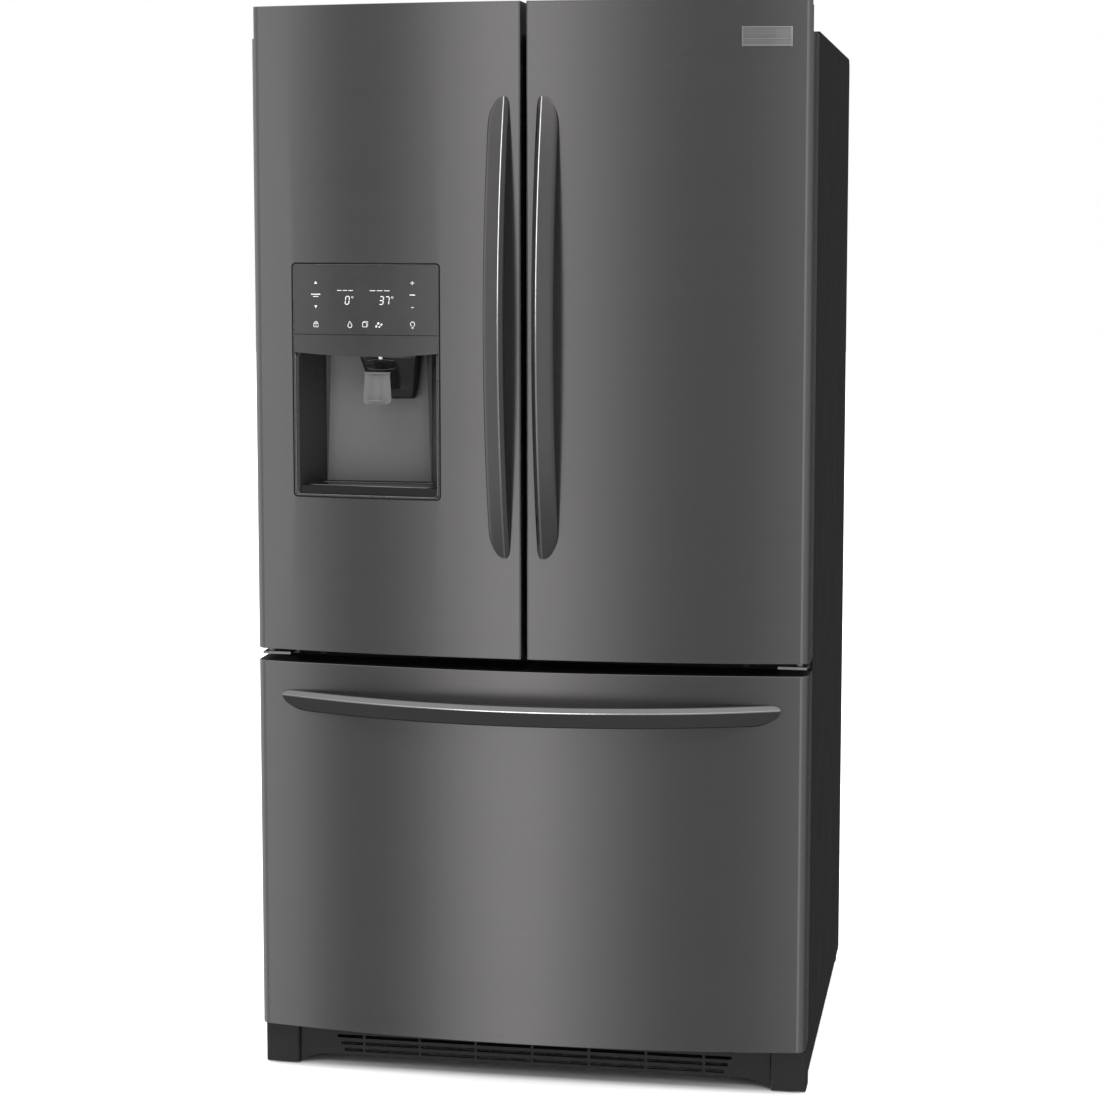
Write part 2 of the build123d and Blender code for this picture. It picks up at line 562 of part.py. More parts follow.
# ------------------------------------------------------------------ doors
def liner_form(inset):
    """A door liner's raised ridge; inset gives the foam inside it."""
    x0, x1 = DYKE[0] + inset, DYKE[1] - inset
    z0, z1 = DYKE_Z[0] + inset, DYKE_Z[1] - inset
    return ring(x0, x1, z0, z1, DYKE_WIDTH - 2 * inset, LINER_Y - LINER, DYKE_BACK - inset)


def gasket(x0, x1, z0, z1):
    """Magnetic seal strip with a bellows groove."""
    strip = ring(x0, x1, z0, z1, 16, LINER_Y, GASKET_BACK)
    groove_out = ring(x0 - 1, x1 + 1, z0 - 1, z1 + 1, 4, 63.5, 66.0)
    groove_in = ring(x0 + 13, x1 - 13, z0 + 13, z1 - 13, 5, 63.5, 66.0)
    return strip - groove_out - groove_in


def common_door():
    """Skin, foam, liner, gasket and end caps of a right-hand door."""
    whole = door_slab(DOOR_BOTTOM, DOOR_TOP)
    rim = [edge for edge in whole.edges() if edge.center().Y < DOOR_BACK - 30
           and min(abs(edge.center().Z - z) for z in (DOOR_TOP, DOOR_BOTTOM)) < 0.01]
    whole = fillet(rim, 1.0)
    low, high = DOOR_BOTTOM + CAP, DOOR_TOP - CAP
    notch = block(NOTCH_X, WIDTH, NOTCH_Y, CABINET_FRONT, NOTCH_Z, DOOR_TOP + 5)
    pocket = block(NOTCH_X - 3, WIDTH, NOTCH_Y - 3, CABINET_FRONT, NOTCH_Z - CAP, DOOR_TOP + 5) - notch
    skin = whole - door_slab(DOOR_BOTTOM - 1, DOOR_TOP + 1, SKIN, DOOR_BACK + 1) - notch
    flat = door_slab(low, high, SKIN, LINER_Y)
    cut = block(-10, WIDTH, -100, LINER_Y - LINER, low - 1, high + 1)
    liner = (flat - cut) + liner_form(0) - liner_form(2.5) - notch - pocket
    foam = door_slab(low, high, SKIN, LINER_Y - LINER) + liner_form(2.5) - notch - pocket
    seal = gasket(10, GASKET_X, 722, 1698)
    bottom = door_slab(DOOR_BOTTOM + 1, low, SKIN, LINER_Y)
    bottom -= rod(HINGE_X, HINGE_Y, 700, DOOR_BOTTOM + 19, PIN_RADIUS + 0.5)
    top = door_slab(high, DOOR_TOP - 1, SKIN, LINER_Y) - notch
    socket = pocket & flat
    socket += pocket & door_slab(low, high, SKIN, LINER_Y - LINER)
    socket -= rod(HINGE_X, HINGE_Y, NOTCH_Z - 19, NOTCH_Z + 5, PIN_RADIUS + 0.5)
    stop = rod(352, 38, 703, DOOR_BOTTOM + 1, 8)
    return skin, foam, liner, seal, [bottom, top, socket, stop]


def door_handle():
    """Upright handle of the right-hand door, its ends and posts trimmed to the door's face."""
    face = front_y(HANDLE_RIDGE_X)
    bar = handle_bar(HANDLE_LENGTH, face - HANDLE_REACH, face - HANDLE_END)
    handle = Pos(HANDLE_RIDGE_X, 0, HANDLE_MIDDLE_Z) * bar
    for side in (-1, 1):
        z = HANDLE_MIDDLE_Z + side * (HANDLE_LENGTH / 2 - POST_FROM_END)
        handle += rod_y(HANDLE_RIDGE_X + 8, face - 8, face + 10, z, 7)
    return handle - door_slab(DOOR_BOTTOM, DOOR_TOP)


def drawer_handle():
    """Long handle across the drawer, its broad face downwards."""
    end = DRAWER_HANDLE_LENGTH / 2
    bar = handle_bar(DRAWER_HANDLE_LENGTH, FRONT_MOST, front_y(end) - HANDLE_END)
    handle = Pos(0, 0, DRAWER_HANDLE_Z) * Rot(0, 90, 0) * bar
    post_x = end - POST_FROM_END
    for side in (-1, 1):
        handle += rod_y(side * post_x, front_y(post_x) - 8, 10, DRAWER_HANDLE_Z - 8, 7)
    return handle - drawer_slab(DRAWER_BOTTOM, DRAWER_TOP)


def bin_at(z, height, side=1):
    """Door bin between the liner's ridges, with a lower front lip."""
    x0, x1 = DYKE[0] + DYKE_WIDTH, DYKE[1] - DYKE_WIDTH
    tray = tub(x0, x1, LINER_Y, BIN_BACK, z, z + height, 3.0)
    tray -= block(x0 + 40, x1 - 40, BIN_BACK - 10, BIN_BACK + 5, z + height * 0.72, z + height + 5)
    return tray if side > 0 else flip(tray)


def right_door():
    """Plain door: bins, dairy compartment and badge plate."""
    skin, foam, liner, seal, caps = common_door()
    add("door_right_skin", skin)
    add("door_right_foam", foam)
    add("door_right_liner", liner)
    add("door_right_gasket", seal)
    add("door_right_end_caps", caps)
    add("door_right_handle", door_handle())
    x0, x1 = DYKE[0] + DYKE_WIDTH, DYKE[1] - DYKE_WIDTH
    dairy = block(x0, x1, LINER_Y, 150, 1446, 1530)
    dairy -= block(x0 + 3, x1 - 3, LINER_Y - 1, 155, 1449, 1535)
    add("door_right_bins", [bin_at(785, 115), bin_at(1030, 100), bin_at(1255, 95)], dairy)
    lid = block(x0 + 1, x1 - 1, DAIRY_Y, 155, 1531, 1534)
    lid += block(x0 + 1, x1 - 1, 152, 155, 1466, 1531)
    lid += rod_x(x0 + 1, x1 - 1, DAIRY_Y, DAIRY_Z, 3.5)
    lid += block(180, 263, 155, 162, 1470, 1476)
    add("dairy_lid", lid)
    outline = bowed(-HALF, HALF, 1680, 1730, -1.2, 60, EDGE_RADIUS, EDGE_RADIUS)
    plate = block(342.5, 421, -60, 40, 1688.8, 1720.2) & outline
    add("badge_plate", plate - door_slab(DOOR_BOTTOM, DOOR_TOP))


def dispenser_envelope():
    """Space that the dispenser housing takes in the door."""
    (x0, x1), (z0, z1) = DISPENSER_X, DISPENSER_Z
    front = block(x0, x1, -60, 5, z0, z1)
    corners = [edge for edge in front.edges().filter_by(Axis.Y)]
    front = fillet(corners, 5)
    back = frustum((x0, x1, z0, z1), 5, (x0 + 36, x1 - 30, z0 + 3, z1 - 40), RECESS_BACK + 3)
    return front + back


def left_door():
    """Dispenser door: housing, panel, chute, paddle, tray, bins and flip mullion."""
    parts = common_door()
    skin, foam, liner, seal = (flip(part) for part in parts[:4])
    caps = [flip(part) for part in parts[4]]
    (x0, x1), (z0, z1) = DISPENSER_X, DISPENSER_Z
    envelope = dispenser_envelope()
    front_form = flip(door_slab(z0 - 20, z1 + 20))
    duct = block(-275, -190, 0, 34, 1300, 1400) + block(-275, -190, 0, 96, 1334, 1400)
    bulge_low, bulge_high = 948.0, 1410.0
    ridge = DYKE[0] + DYKE_WIDTH, DYKE[1] - DYKE_WIDTH
    bulge = block(-ridge[1], -ridge[0], LINER_Y - LINER, 95, bulge_low, bulge_high)
    core = block(-ridge[1] + 2.5, -ridge[0] - 2.5, LINER_Y - LINER, 92.5,
                 bulge_low + 2.5, bulge_high - 2.5)
    window = block(x0, x1, -60, 30, z0, z1)
    window = fillet(window.edges().filter_by(Axis.Y), 5)
    bracket_z = (800.0, 1200.0, 1600.0)
    knuckles = []
    for z in bracket_z:
        arm = block(-DYKE[0], MULLION_X + 5, MULLION_Y - 5, MULLION_Y + 5, z - 9, z + 9)
        knuckles.append(arm + rod(MULLION_X, MULLION_Y, z - 22, z + 22, 3))
    add("door_left_skin", skin - window)
    add("door_left_foam", foam + core - envelope - duct)
    add("door_left_liner", liner + bulge - core - duct + knuckles[0] + knuckles[1] + knuckles[2])
    add("door_left_gasket", seal)
    add("door_left_end_caps", caps)
    add("door_left_handle", flip(door_handle()))
    add("door_left_bins", [bin_at(785, 115, -1), bin_at(1430, 90, -1), bin_at(1545, 75, -1)])

    recess = frustum((x0 + 4, x1 - 4, 991, 1214), -26, (x0 + 39, x1 - 33, 991, 1214), RECESS_BACK)
    recess += block(x0 + 4, x1 - 4, -60, -26, 991, 1214)
    tray_space = frustum((x0 + 4, x1 - 4, 975, 992), -26, (x0 + 39, x1 - 33, 975, 992), RECESS_BACK)
    tray_space += block(x0 + 4, x1 - 4, -60, -26, 975, 992)
    facia = block(x0 + 2.5, x1 - 2.5, -60, 20, VISOR_Z[0], z1 - 2.5)
    flush = flip(door_slab(z0, z1 + 5, 4.2))
    electronics = block(x0 + 12, x1 - 12, -16, 30, VISOR_Z[1] + 14, z1 - 12)
    chute_space = block(CHUTE_X[0] + 6, CHUTE_X[1] - 6, 0, 34, 1200, z1 + 10)
    housing = (envelope & front_form) - recess - tray_space - (facia - flush)
    housing = housing - electronics - chute_space - duct
    add("dispenser_housing", housing)

    outside = flip(door_slab(z0, z1 + 5))
    behind = flip(door_slab(z0, z1 + 5, 3.5))
    panel_area = block(x0 + 3, x1 - 3, -60, 20, VISOR_Z[1] + 1, z1 - 3)
    visor_path = Curve() + [
        Line((x0 + 3, 0, VISOR_Z[1]), (x0 + 3, 0, VISOR_Z[0] + 6)),
        ThreePointArc((x0 + 3, 0, VISOR_Z[0] + 6), ((x0 + x1) / 2, 0, VISOR_Z[0]),
                      (x1 - 3, 0, VISOR_Z[0] + 6)),
        Line((x1 - 3, 0, VISOR_Z[0] + 6), (x1 - 3, 0, VISOR_Z[1])),
        Line((x1 - 3, 0, VISOR_Z[1]), (x0 + 3, 0, VISOR_Z[1])),
    ]
    visor_area = Pos(0, -60, 0) * extrude(make_face(visor_path), 80, dir=(0, 1, 0))
    facia_sheet = outside - behind
    add("control_panel", panel_area & facia_sheet, visor_area & facia_sheet)

    mouth = frustum((CHUTE_X[0] + 12, CHUTE_X[1] - 12, 1131, 1214), 2,
                    (CHUTE_X[0] + 16, CHUTE_X[1] - 16, 1140, 1214), 34)
    cheeks = block(CHUTE_X[0], CHUTE_X[1], 6, 30, 1178, 1214)
    stem = block(CHUTE_X[0] + 6, CHUTE_X[1] - 6, 0, 34, 1214, 1400)
    turn = block(CHUTE_X[0] + 6, CHUTE_X[1] - 6, 0, 96, 1334, 1400)
    bore = block(CHUTE_X[0] + 22, CHUTE_X[1] - 22, 4, 30, 1100, 1396)
    bore += block(CHUTE_X[0] + 10, CHUTE_X[1] - 10, 4, 120, 1338, 1396)
    lugs = [block(x, x + 6, PADDLE_Y - 4, 6, PADDLE_Z - 5, 1186) for x in (-279.5, -217.5)]
    chute = mouth + cheeks + stem + turn - bore + lugs[0] + lugs[1]
    nozzle = rod(-252, -17, 1190, 1214, 3.4)
    nozzle -= rod(-252, -17, 1180, 1220, 1.8)
    add("ice_chute", chute, nozzle)

    lever = rod_x(-273, -218, PADDLE_Y, PADDLE_Z, 4)
    front, left = PADDLE_Y - 3, -270
    blade_outline = Curve() + [
        Line((left, front, PADDLE_Z), (left, front + 4, PADDLE_Z)),
        ThreePointArc((left, front + 4, PADDLE_Z), (left, front + 6, 1150), (left, front - 1, 1123)),
        Line((left, front - 1, 1123), (left, front - 5, 1124.5)),
        ThreePointArc((left, front - 5, 1124.5), (left, front + 2, 1150), (left, front, PADDLE_Z)),
    ]
    lever += extrude(make_face(blade_outline), 49, dir=(1, 0, 0))
    add("dispenser_paddle", lever)

    tray = frustum((x0 + 5, x1 - 5, 976, 989), -26, (x0 + 40, x1 - 34, 976, 989), RECESS_BACK - 1)
    tray += block(x0 + 5, x1 - 5, -60, -26, 976, 989)
    tray &= flip(door_slab(960, 1000, 1.5))
    tray -= block(x0 + 40, x1 - 36, -6, 44, 979, 986.5)
    for slot in range(11):
        x = x0 + 46 + slot * 15.4
        tray -= block(x, x + 6, -2, 40, 985, 990)
    add("drip_tray", tray)

    mullion = block(MULLION_X - 8, MULLION_X + 8, MULLION_Y - 6, MULLION_Y + 54,
                    DYKE_Z[0] + 3, DYKE_Z[1] - 3)
    mullion = fillet(mullion.edges().filter_by(Axis.Z), 2.5)
    for z in bracket_z:
        mullion -= block(MULLION_X - 12, MULLION_X + 12, MULLION_Y - 10, MULLION_Y + 12,
                         z - 12, z + 12)
        mullion -= rod(MULLION_X, MULLION_Y, z - 26, z + 26, 3.5)
    add("flip_mullion", mullion)


# ------------------------------------------------------------------ freezer drawer
def freezer_drawer():
    """Drawer front, slides and baskets."""
    low, high = DRAWER_BOTTOM + DRAWER_CAP, DRAWER_TOP - DRAWER_CAP
    whole = drawer_slab(DRAWER_BOTTOM, DRAWER_TOP)
    rim = [edge for edge in whole.edges() if edge.center().Y < DOOR_BACK - 30
           and min(abs(edge.center().Z - z) for z in (DRAWER_TOP, DRAWER_BOTTOM)) < 0.01]
    whole = fillet(rim, 1.0)
    add("drawer_skin", whole - drawer_slab(DRAWER_BOTTOM - 1, DRAWER_TOP + 1, SKIN, DOOR_BACK + 1))
    x1, z0, z1 = DYKE[1], FREEZER_Z[0] + 7, FREEZER_Z[1] - 7
    depth = 85.0
    outer = ring(-x1, x1, z0, z1, DYKE_WIDTH, LINER_Y - LINER, depth)
    core = ring(-x1 + 2.5, x1 - 2.5, z0 + 2.5, z1 - 2.5, DYKE_WIDTH - 5,
                LINER_Y - LINER, depth - 2.5)
    flat = drawer_slab(low, high, SKIN, LINER_Y)
    cut = block(-WIDTH, WIDTH, -100, LINER_Y - LINER, low - 1, high + 1)
    add("drawer_liner", (flat - cut) + outer - core)
    add("drawer_foam", drawer_slab(low, high, SKIN, LINER_Y - LINER) + core)
    add("drawer_gasket", gasket(-GASKET_X, GASKET_X, 106, 684))
    add("drawer_end_caps", drawer_slab(DRAWER_BOTTOM + 1, low, SKIN, LINER_Y),
        drawer_slab(high, DRAWER_TOP - 1, SKIN, LINER_Y))
    add("drawer_handle", drawer_handle())

    z_low, z_high = SLIDE_Z
    inner = block(377, 383.5, depth, SLIDE_Y[1], z_low + 8, z_high - 8)
    middle = block(384.5, 391, SLIDE_Y[0], SLIDE_Y[1], z_low + 4, z_high - 4)
    middle -= block(383, 386.5, SLIDE_Y[0] - 1, SLIDE_Y[1] + 1, z_low + 12, z_high - 12)
    fixed = block(392, ROOM_HALF, SLIDE_Y[0], SLIDE_Y[1], z_low, z_high)
    fixed -= block(391, 396, SLIDE_Y[0] - 1, SLIDE_Y[1] + 1, z_low + 10, z_high - 10)
    ledge = block(388, ROOM_HALF, 110, 555, 576, 586)
    add("drawer_slides", both(inner))
    add("middle_slides", both(middle))
    add("freezer_rails", both(fixed), both(ledge))

    basket = tub(-360, 360, 90, 540, 158, 396, 4.0)
    basket += block(-376.5, -356, 120, 520, 389, 396) + block(356, 376.5, 120, 520, 389, 396)
    for side in (-1, 1):
        basket += block(side * 376.5, side * 371, 120, 520, 396, 406)
    for row in range(3):
        for k in range(-6, 7):
            basket -= block(k * 52 - 19, k * 52 + 19, 535, 545, 190 + row * 60, 228 + row * 60)
    add("lower_basket", basket)
    upper = tub(-372, 372, 100, 548, 470, 594, 4.0)
    upper += block(-401, -368, 100, 548, 587, 594) + block(368, 401, 100, 548, 587, 594)
    for k in range(-6, 7):
        upper -= block(k * 54 - 18, k * 54 + 18, 95, 106, 500, 560)
    add("upper_basket", upper)


# ------------------------------------------------------------------ assemble and write
def place(solids):
    """Move a node's solids to the final origin and gather them."""
    moved = [Pos(0, -DEPTH_CENTRE, 0) * solid for solid in solids]
    return moved[0] if len(moved) == 1 else Compound(moved)


def main():
    """Build every node and write one STEP file for each."""
    for build in (cabinet_wrapper, rear_panel, face_frame, liners, foam_insulation, base_frame,
                  rollers_and_legs, toe_grille, hinge_parts, hinge_covers, shelves, crispers,
                  ice_maker, air_parts, inside_fittings, cooling_parts, right_door, left_door,
                  freezer_drawer):
        build()
    os.makedirs("parts", exist_ok=True)
    for name, solids in nodes.items():
        export_step(place(solids), f"parts/{name}.step")


main()
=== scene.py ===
import bmesh
import bpy
import json
from math import cos, pi, radians, sin, sqrt
from mathutils import Matrix, Vector

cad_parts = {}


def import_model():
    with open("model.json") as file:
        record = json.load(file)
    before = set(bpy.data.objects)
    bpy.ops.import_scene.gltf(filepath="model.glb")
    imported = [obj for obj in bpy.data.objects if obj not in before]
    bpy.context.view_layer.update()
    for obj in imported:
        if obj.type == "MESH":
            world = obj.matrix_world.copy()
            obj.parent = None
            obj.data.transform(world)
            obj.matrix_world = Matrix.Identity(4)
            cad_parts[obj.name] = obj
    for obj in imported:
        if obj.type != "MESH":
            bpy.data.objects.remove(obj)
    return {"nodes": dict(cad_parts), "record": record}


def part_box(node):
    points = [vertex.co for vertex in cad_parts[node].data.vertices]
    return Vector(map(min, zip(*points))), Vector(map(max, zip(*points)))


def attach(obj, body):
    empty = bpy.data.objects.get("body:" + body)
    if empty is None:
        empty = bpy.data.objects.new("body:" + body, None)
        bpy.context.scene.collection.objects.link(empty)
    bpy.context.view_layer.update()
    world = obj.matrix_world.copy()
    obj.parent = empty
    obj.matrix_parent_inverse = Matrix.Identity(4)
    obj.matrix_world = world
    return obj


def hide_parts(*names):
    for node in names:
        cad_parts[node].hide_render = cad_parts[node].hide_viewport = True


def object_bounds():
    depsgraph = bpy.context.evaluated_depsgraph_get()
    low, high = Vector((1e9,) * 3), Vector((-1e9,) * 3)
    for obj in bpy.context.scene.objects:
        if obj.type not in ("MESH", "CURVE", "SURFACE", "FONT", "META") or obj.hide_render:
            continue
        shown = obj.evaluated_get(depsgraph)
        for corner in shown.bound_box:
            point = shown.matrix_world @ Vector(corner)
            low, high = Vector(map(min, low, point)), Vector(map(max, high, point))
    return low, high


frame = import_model()
CAD_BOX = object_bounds()
NODES = frame["nodes"]
SLOT_OF = {part["node"]: part["material_slot"] for part in frame["record"]["subparts"]}

# all lengths are in metres
WELD = 1e-6             # points nearer than this are one point
RAY_START = 2.0         # a ray starts this far from the model's middle

# surface relief
SCRATCH_DEPTH = 0.0001
PORE_DEPTH = 0.0002
CLOUDS_PER_METRE = 9.0  # scale of the slow change of colour in paint and plastic

# dispenser
IN_RECESS_Z = 1.06      # a height where a ray meets the recess's back wall
MARK_WIDTH = 0.0011     # printed line
WIDE_MARK_WIDTH = 0.0016
PADDLE_SCOOP = 0.0042   # depth of the paddle's hollow

# handles: distances from the CAD handle's box
HANDLE_EDGE_TO_CREASE = 0.009
HANDLE_POST_INSET = 0.046
HANDLE_END_REACH = 0.005
POST_TO_CREASE = 0.008
POST_LENGTH = 0.009
SINK = 0.001            # how far a post goes into the skin

# studio: floor's glow beside the object and 4 m away; the lower glow beside the object is painted shade
STAGE_RADIUS = 24
FLOOR_GLOW_NEAR = 0.50
FLOOR_GLOW_FAR = 0.75
# degrees from the front (-Y) towards -X, and brightness there
PANELS = (
    (-180, 0.06), (-120, 0.10), (-75, 0.45), (-50, 0.52), (-36, 0.66), (-28, 1.15), (-19, 1.10),
    (-14.5, 0.80), (-12.6, 0.12), (-2, 0.14), (5, 0.70), (11, 1.62), (16, 1.10), (22, 0.12),
    (29.8, 0.0), (31.6, 0.98), (37, 1.30), (42, 0.85), (50, 0.52), (62, 0.66), (85, 1.05),
    (115, 1.05), (140, 0.40), (160, 0.10), (180, 0.06))
# sine of the height where each begins, sine where it is full, and its brightness
CEILING = (0.42, 0.75, 1.7)
GROUND = (-0.36, -0.55, 0.30)
# name, place, target, width, height and power
SOFT_LIGHTS = (("key", (-1.5, -4.0, 4.5), (0, 0, 0.9), 3.0, 2.0, 60),
               ("top", (0.3, -0.5, 4.2), (0, 0, 0.5), 4.0, 4.0, 60),
               ("back", (1.5, 4.5, 3.2), (0, 0, 0.9), 3.0, 3.0, 70))

# camera that matches the photograph's angle
LENS_MM = 84.0
SENSOR_MM = 36
SHIFT_DOWN = -0.0428
EYE = (0.7676, -4.4125, 1.4219)
PITCH_DOWN = 0.1101
TURN_LEFT = 0.1785


# ------------------------------------------------------------------ small helpers
def new_piece(name, mesh, body, material, replaced=()):
    """Link a mesh as a piece that rides on a CAD body."""
    piece = bpy.data.objects.new(name, mesh)
    bpy.context.scene.collection.objects.link(piece)
    mesh.materials.clear()
    mesh.materials.append(material)
    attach(piece, body)
    if replaced:
        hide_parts(*replaced)
    return piece


def mesh_of(name, verts, faces, smooth=True):
    """A mesh from vertex and face lists, with outward normals."""
    mesh = bpy.data.meshes.new(name)
    mesh.from_pydata([tuple(v) for v in verts], [], faces)
    bm = bmesh.new()
    bm.from_mesh(mesh)
    bmesh.ops.remove_doubles(bm, verts=bm.verts, dist=WELD)
    bmesh.ops.recalc_face_normals(bm, faces=bm.faces)
    bm.to_mesh(mesh)
    bm.free()
    if smooth:
        mesh.polygons.foreach_set("use_smooth", [True] * len(mesh.polygons))
    return mesh


def turned_outward(mesh):
    """The mesh with every face's normal outward."""
    bm = bmesh.new()
    bm.from_mesh(mesh)
    bmesh.ops.recalc_face_normals(bm, faces=bm.faces)
    bm.to_mesh(mesh)
    bm.free()
    return mesh


def circle(sides):
    """Cosine and sine of equal steps round a circle."""
    return [(cos(2 * pi * k / sides), sin(2 * pi * k / sides)) for k in range(sides)]


def arc(cx, cz, radius, start, stop, steps=14):
    """Points along a circle, angles in degrees."""
    angles = [radians(start + (stop - start) * i / steps) for i in range(steps + 1)]
    return [(cx + radius * cos(angle), cz + radius * sin(angle)) for angle in angles]


def rounded(x0, x1, z0, z1, r, steps=6):
    """Rounded rectangle as (x, z) points."""
    corners = ((x1 - r, z1 - r, 0), (x0 + r, z1 - r, 90),
               (x0 + r, z0 + r, 180), (x1 - r, z0 + r, 270))
    path = []
    for cx, cz, start in corners:
        path += arc(cx, cz, r, start, start + 90, steps)
    return path


def grid_faces(rows, columns):
    """Quads of a grid of points stored row by row."""
    stride = columns + 1
    starts = [i * stride + k for i in range(rows) for k in range(columns)]
    return [(a, a + 1, a + stride + 1, a + stride) for a in starts]


def loft_mesh(name, rings, cap=True):
    """Skin between rings of equal point count."""
    verts = [point for ring in rings for point in ring]
    count = len(rings[0])
    faces = []
    for i in range(len(rings) - 1):
        here, there = i * count, (i + 1) * count
        for k in range(count):
            after = (k + 1) % count
            faces.append((here + k, here + after, there + after, there + k))
    if cap:
        faces += [tuple(range(count)), tuple(range(len(verts) - count, len(verts)))]
    return mesh_of(name, verts, faces)


def soften(piece, angle):
    """Smooth shading, with edges sharper than the angle in degrees kept hard."""
    bpy.context.view_layer.objects.active = piece
    piece.select_set(True)
    bpy.ops.object.shade_smooth_by_angle(angle=radians(angle))
    piece.select_set(False)


def joined(name, meshes):
    """One mesh from several."""
    bm = bmesh.new()
    for mesh in meshes:
        bm.from_mesh(mesh)
    whole = bpy.data.meshes.new(name)
    bm.to_mesh(whole)
    bm.free()
    for mesh in meshes:
        bpy.data.meshes.remove(mesh)
    return whole


def face_y(node, x, z):
    """The y of a CAD node's front surface at this x and z."""
    found, point, _, _ = NODES[node].ray_cast(Vector((x, -RAY_START, z)), Vector((0, 1, 0)))
    return point.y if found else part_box(node)[0].y


# ------------------------------------------------------------------ materials
def shader(name):
    """A node material and its Principled shader."""
    material = bpy.data.materials.new(name)
    material.use_nodes = True
    return material, material.node_tree, material.node_tree.nodes["Principled BSDF"]


def noise(tree, scale, detail=2.0, rough=0.5):
    """Noise texture in object space, stretched by scale along x, y and z (per metre)."""
    place = tree.nodes.new("ShaderNodeTexCoord")
    stretch = tree.nodes.new("ShaderNodeMapping")
    stretch.inputs["Scale"].default_value = scale
    texture = tree.nodes.new("ShaderNodeTexNoise")
    texture.inputs["Scale"].default_value = 1.0
    texture.inputs["Detail"].default_value = detail
    texture.inputs["Roughness"].default_value = rough
    tree.links.new(place.outputs["Object"], stretch.inputs["Vector"])
    tree.links.new(stretch.outputs["Vector"], texture.inputs["Vector"])
    return texture.outputs["Fac"]


def spread(tree, source, low, high, start=0.3, end=0.7):
    """Map a value between start and end to a number between low and high."""
    node = tree.nodes.new("ShaderNodeMapRange")
    node.inputs["From Min"].default_value = start
    node.inputs["From Max"].default_value = end
    node.inputs["To Min"].default_value = low
    node.inputs["To Max"].default_value = high
    tree.links.new(source, node.inputs["Value"])
    return node.outputs["Result"]


def tint(tree, source, first, second, start=0.35, end=0.65):
    """Colour that runs between two colours as a noise value changes."""
    ramp = tree.nodes.new("ShaderNodeValToRGB")
    ramp.color_ramp.elements[0].position = start
    ramp.color_ramp.elements[0].color = (*first, 1)
    ramp.color_ramp.elements[1].position = end
    ramp.color_ramp.elements[1].color = (*second, 1)
    tree.links.new(source, ramp.inputs["Fac"])
    return ramp.outputs["Color"]


def bump(tree, principled, source, strength, distance):
    """Fine relief from a noise value."""
    node = tree.nodes.new("ShaderNodeBump")
    node.inputs["Strength"].default_value = strength
    node.inputs["Distance"].default_value = distance
    tree.links.new(source, node.inputs["Height"])
    tree.links.new(node.outputs["Normal"], principled.inputs["Normal"])


def scaled(colour, factor):
    """A colour made darker or lighter."""
    return tuple(min(1.0, channel * factor) for channel in colour)


def brushed(name, colour, along=(2.5, 2.5, 650.0), roughness=(0.24, 0.26), contrast=0.025,
            stretch=0.7, turn=0.25, relief=0.02, metallic=1.0):
    """Brushed metal: fine streaks along the grain, with the highlight drawn out across it."""
    material, tree, p = shader(name)
    fine = noise(tree, along, detail=4.0, rough=0.6)
    broad = noise(tree, tuple(a * 0.5 for a in along))
    p.inputs["Metallic"].default_value = metallic
    p.inputs["Anisotropic"].default_value = stretch
    p.inputs["Anisotropic Rotation"].default_value = turn
    streaks = tint(tree, fine, scaled(colour, 1 - contrast), scaled(colour, 1 + contrast))
    tree.links.new(streaks, p.inputs["Base Color"])
    tree.links.new(spread(tree, broad, *roughness), p.inputs["Roughness"])
    if relief:
        bump(tree, p, fine, relief, SCRATCH_DEPTH)
    return material


def moulded(name, colour, roughness=0.4, grain=1400.0, relief=0.12, variation=0.06, coat=0.0,
            specular=0.5):
    """Moulded plastic or paint with a fine grain."""
    material, tree, p = shader(name)
    pores = noise(tree, (grain,) * 3)
    cloud = noise(tree, (CLOUDS_PER_METRE,) * 3, detail=3.0)
    clouded = tint(tree, cloud, scaled(colour, 1 - variation), scaled(colour, 1 + variation))
    tree.links.new(clouded, p.inputs["Base Color"])
    tree.links.new(spread(tree, cloud, roughness - 0.04, roughness + 0.04), p.inputs["Roughness"])
    p.inputs["Coat Weight"].default_value = coat
    p.inputs["Specular IOR Level"].default_value = specular
    bump(tree, p, pores, relief, PORE_DEPTH)
    return material


def clear(name, colour, roughness, transmission, grain=300.0):
    """Glass or clear plastic."""
    material, tree, p = shader(name)
    ripple = noise(tree, (grain,) * 3, detail=1.0)
    p.inputs["Base Color"].default_value = (*colour, 1)
    p.inputs["Transmission Weight"].default_value = transmission
    p.inputs["IOR"].default_value = 1.3
    tree.links.new(spread(tree, ripple, roughness * 0.7, roughness * 1.3), p.inputs["Roughness"])
    bump(tree, p, ripple, strength=0.03, distance=SCRATCH_DEPTH)
    return material


MATERIALS = {
    "black_stainless": brushed("black_stainless", (0.1665, 0.1618, 0.1630), metallic=0.87),
    "zinc_steel": brushed("zinc_steel", (0.34, 0.345, 0.35), (60.0, 60.0, 60.0), (0.30, 0.42),
                          0.08, stretch=0.0, turn=0.0),
    "badge_steel": brushed("badge_steel", (0.40, 0.40, 0.40), (6.0, 6.0, 1400.0), (0.26, 0.34),
                           0.05, stretch=0.5),
    "panel_black": brushed("panel_black", (0.155, 0.153, 0.152), (40.0, 40.0, 40.0), (0.27, 0.29),
                           0.02, stretch=0.3, relief=0.0),
    "shelf_glass": clear("shelf_glass", (0.88, 0.97, 0.93), 0.03, 0.92),
    "clear_plastic": clear("clear_plastic", (0.90, 0.95, 0.98), 0.10, 0.80),
    "smoke_plastic": clear("smoke_plastic", (0.42, 0.43, 0.45), 0.28, 0.30),
}
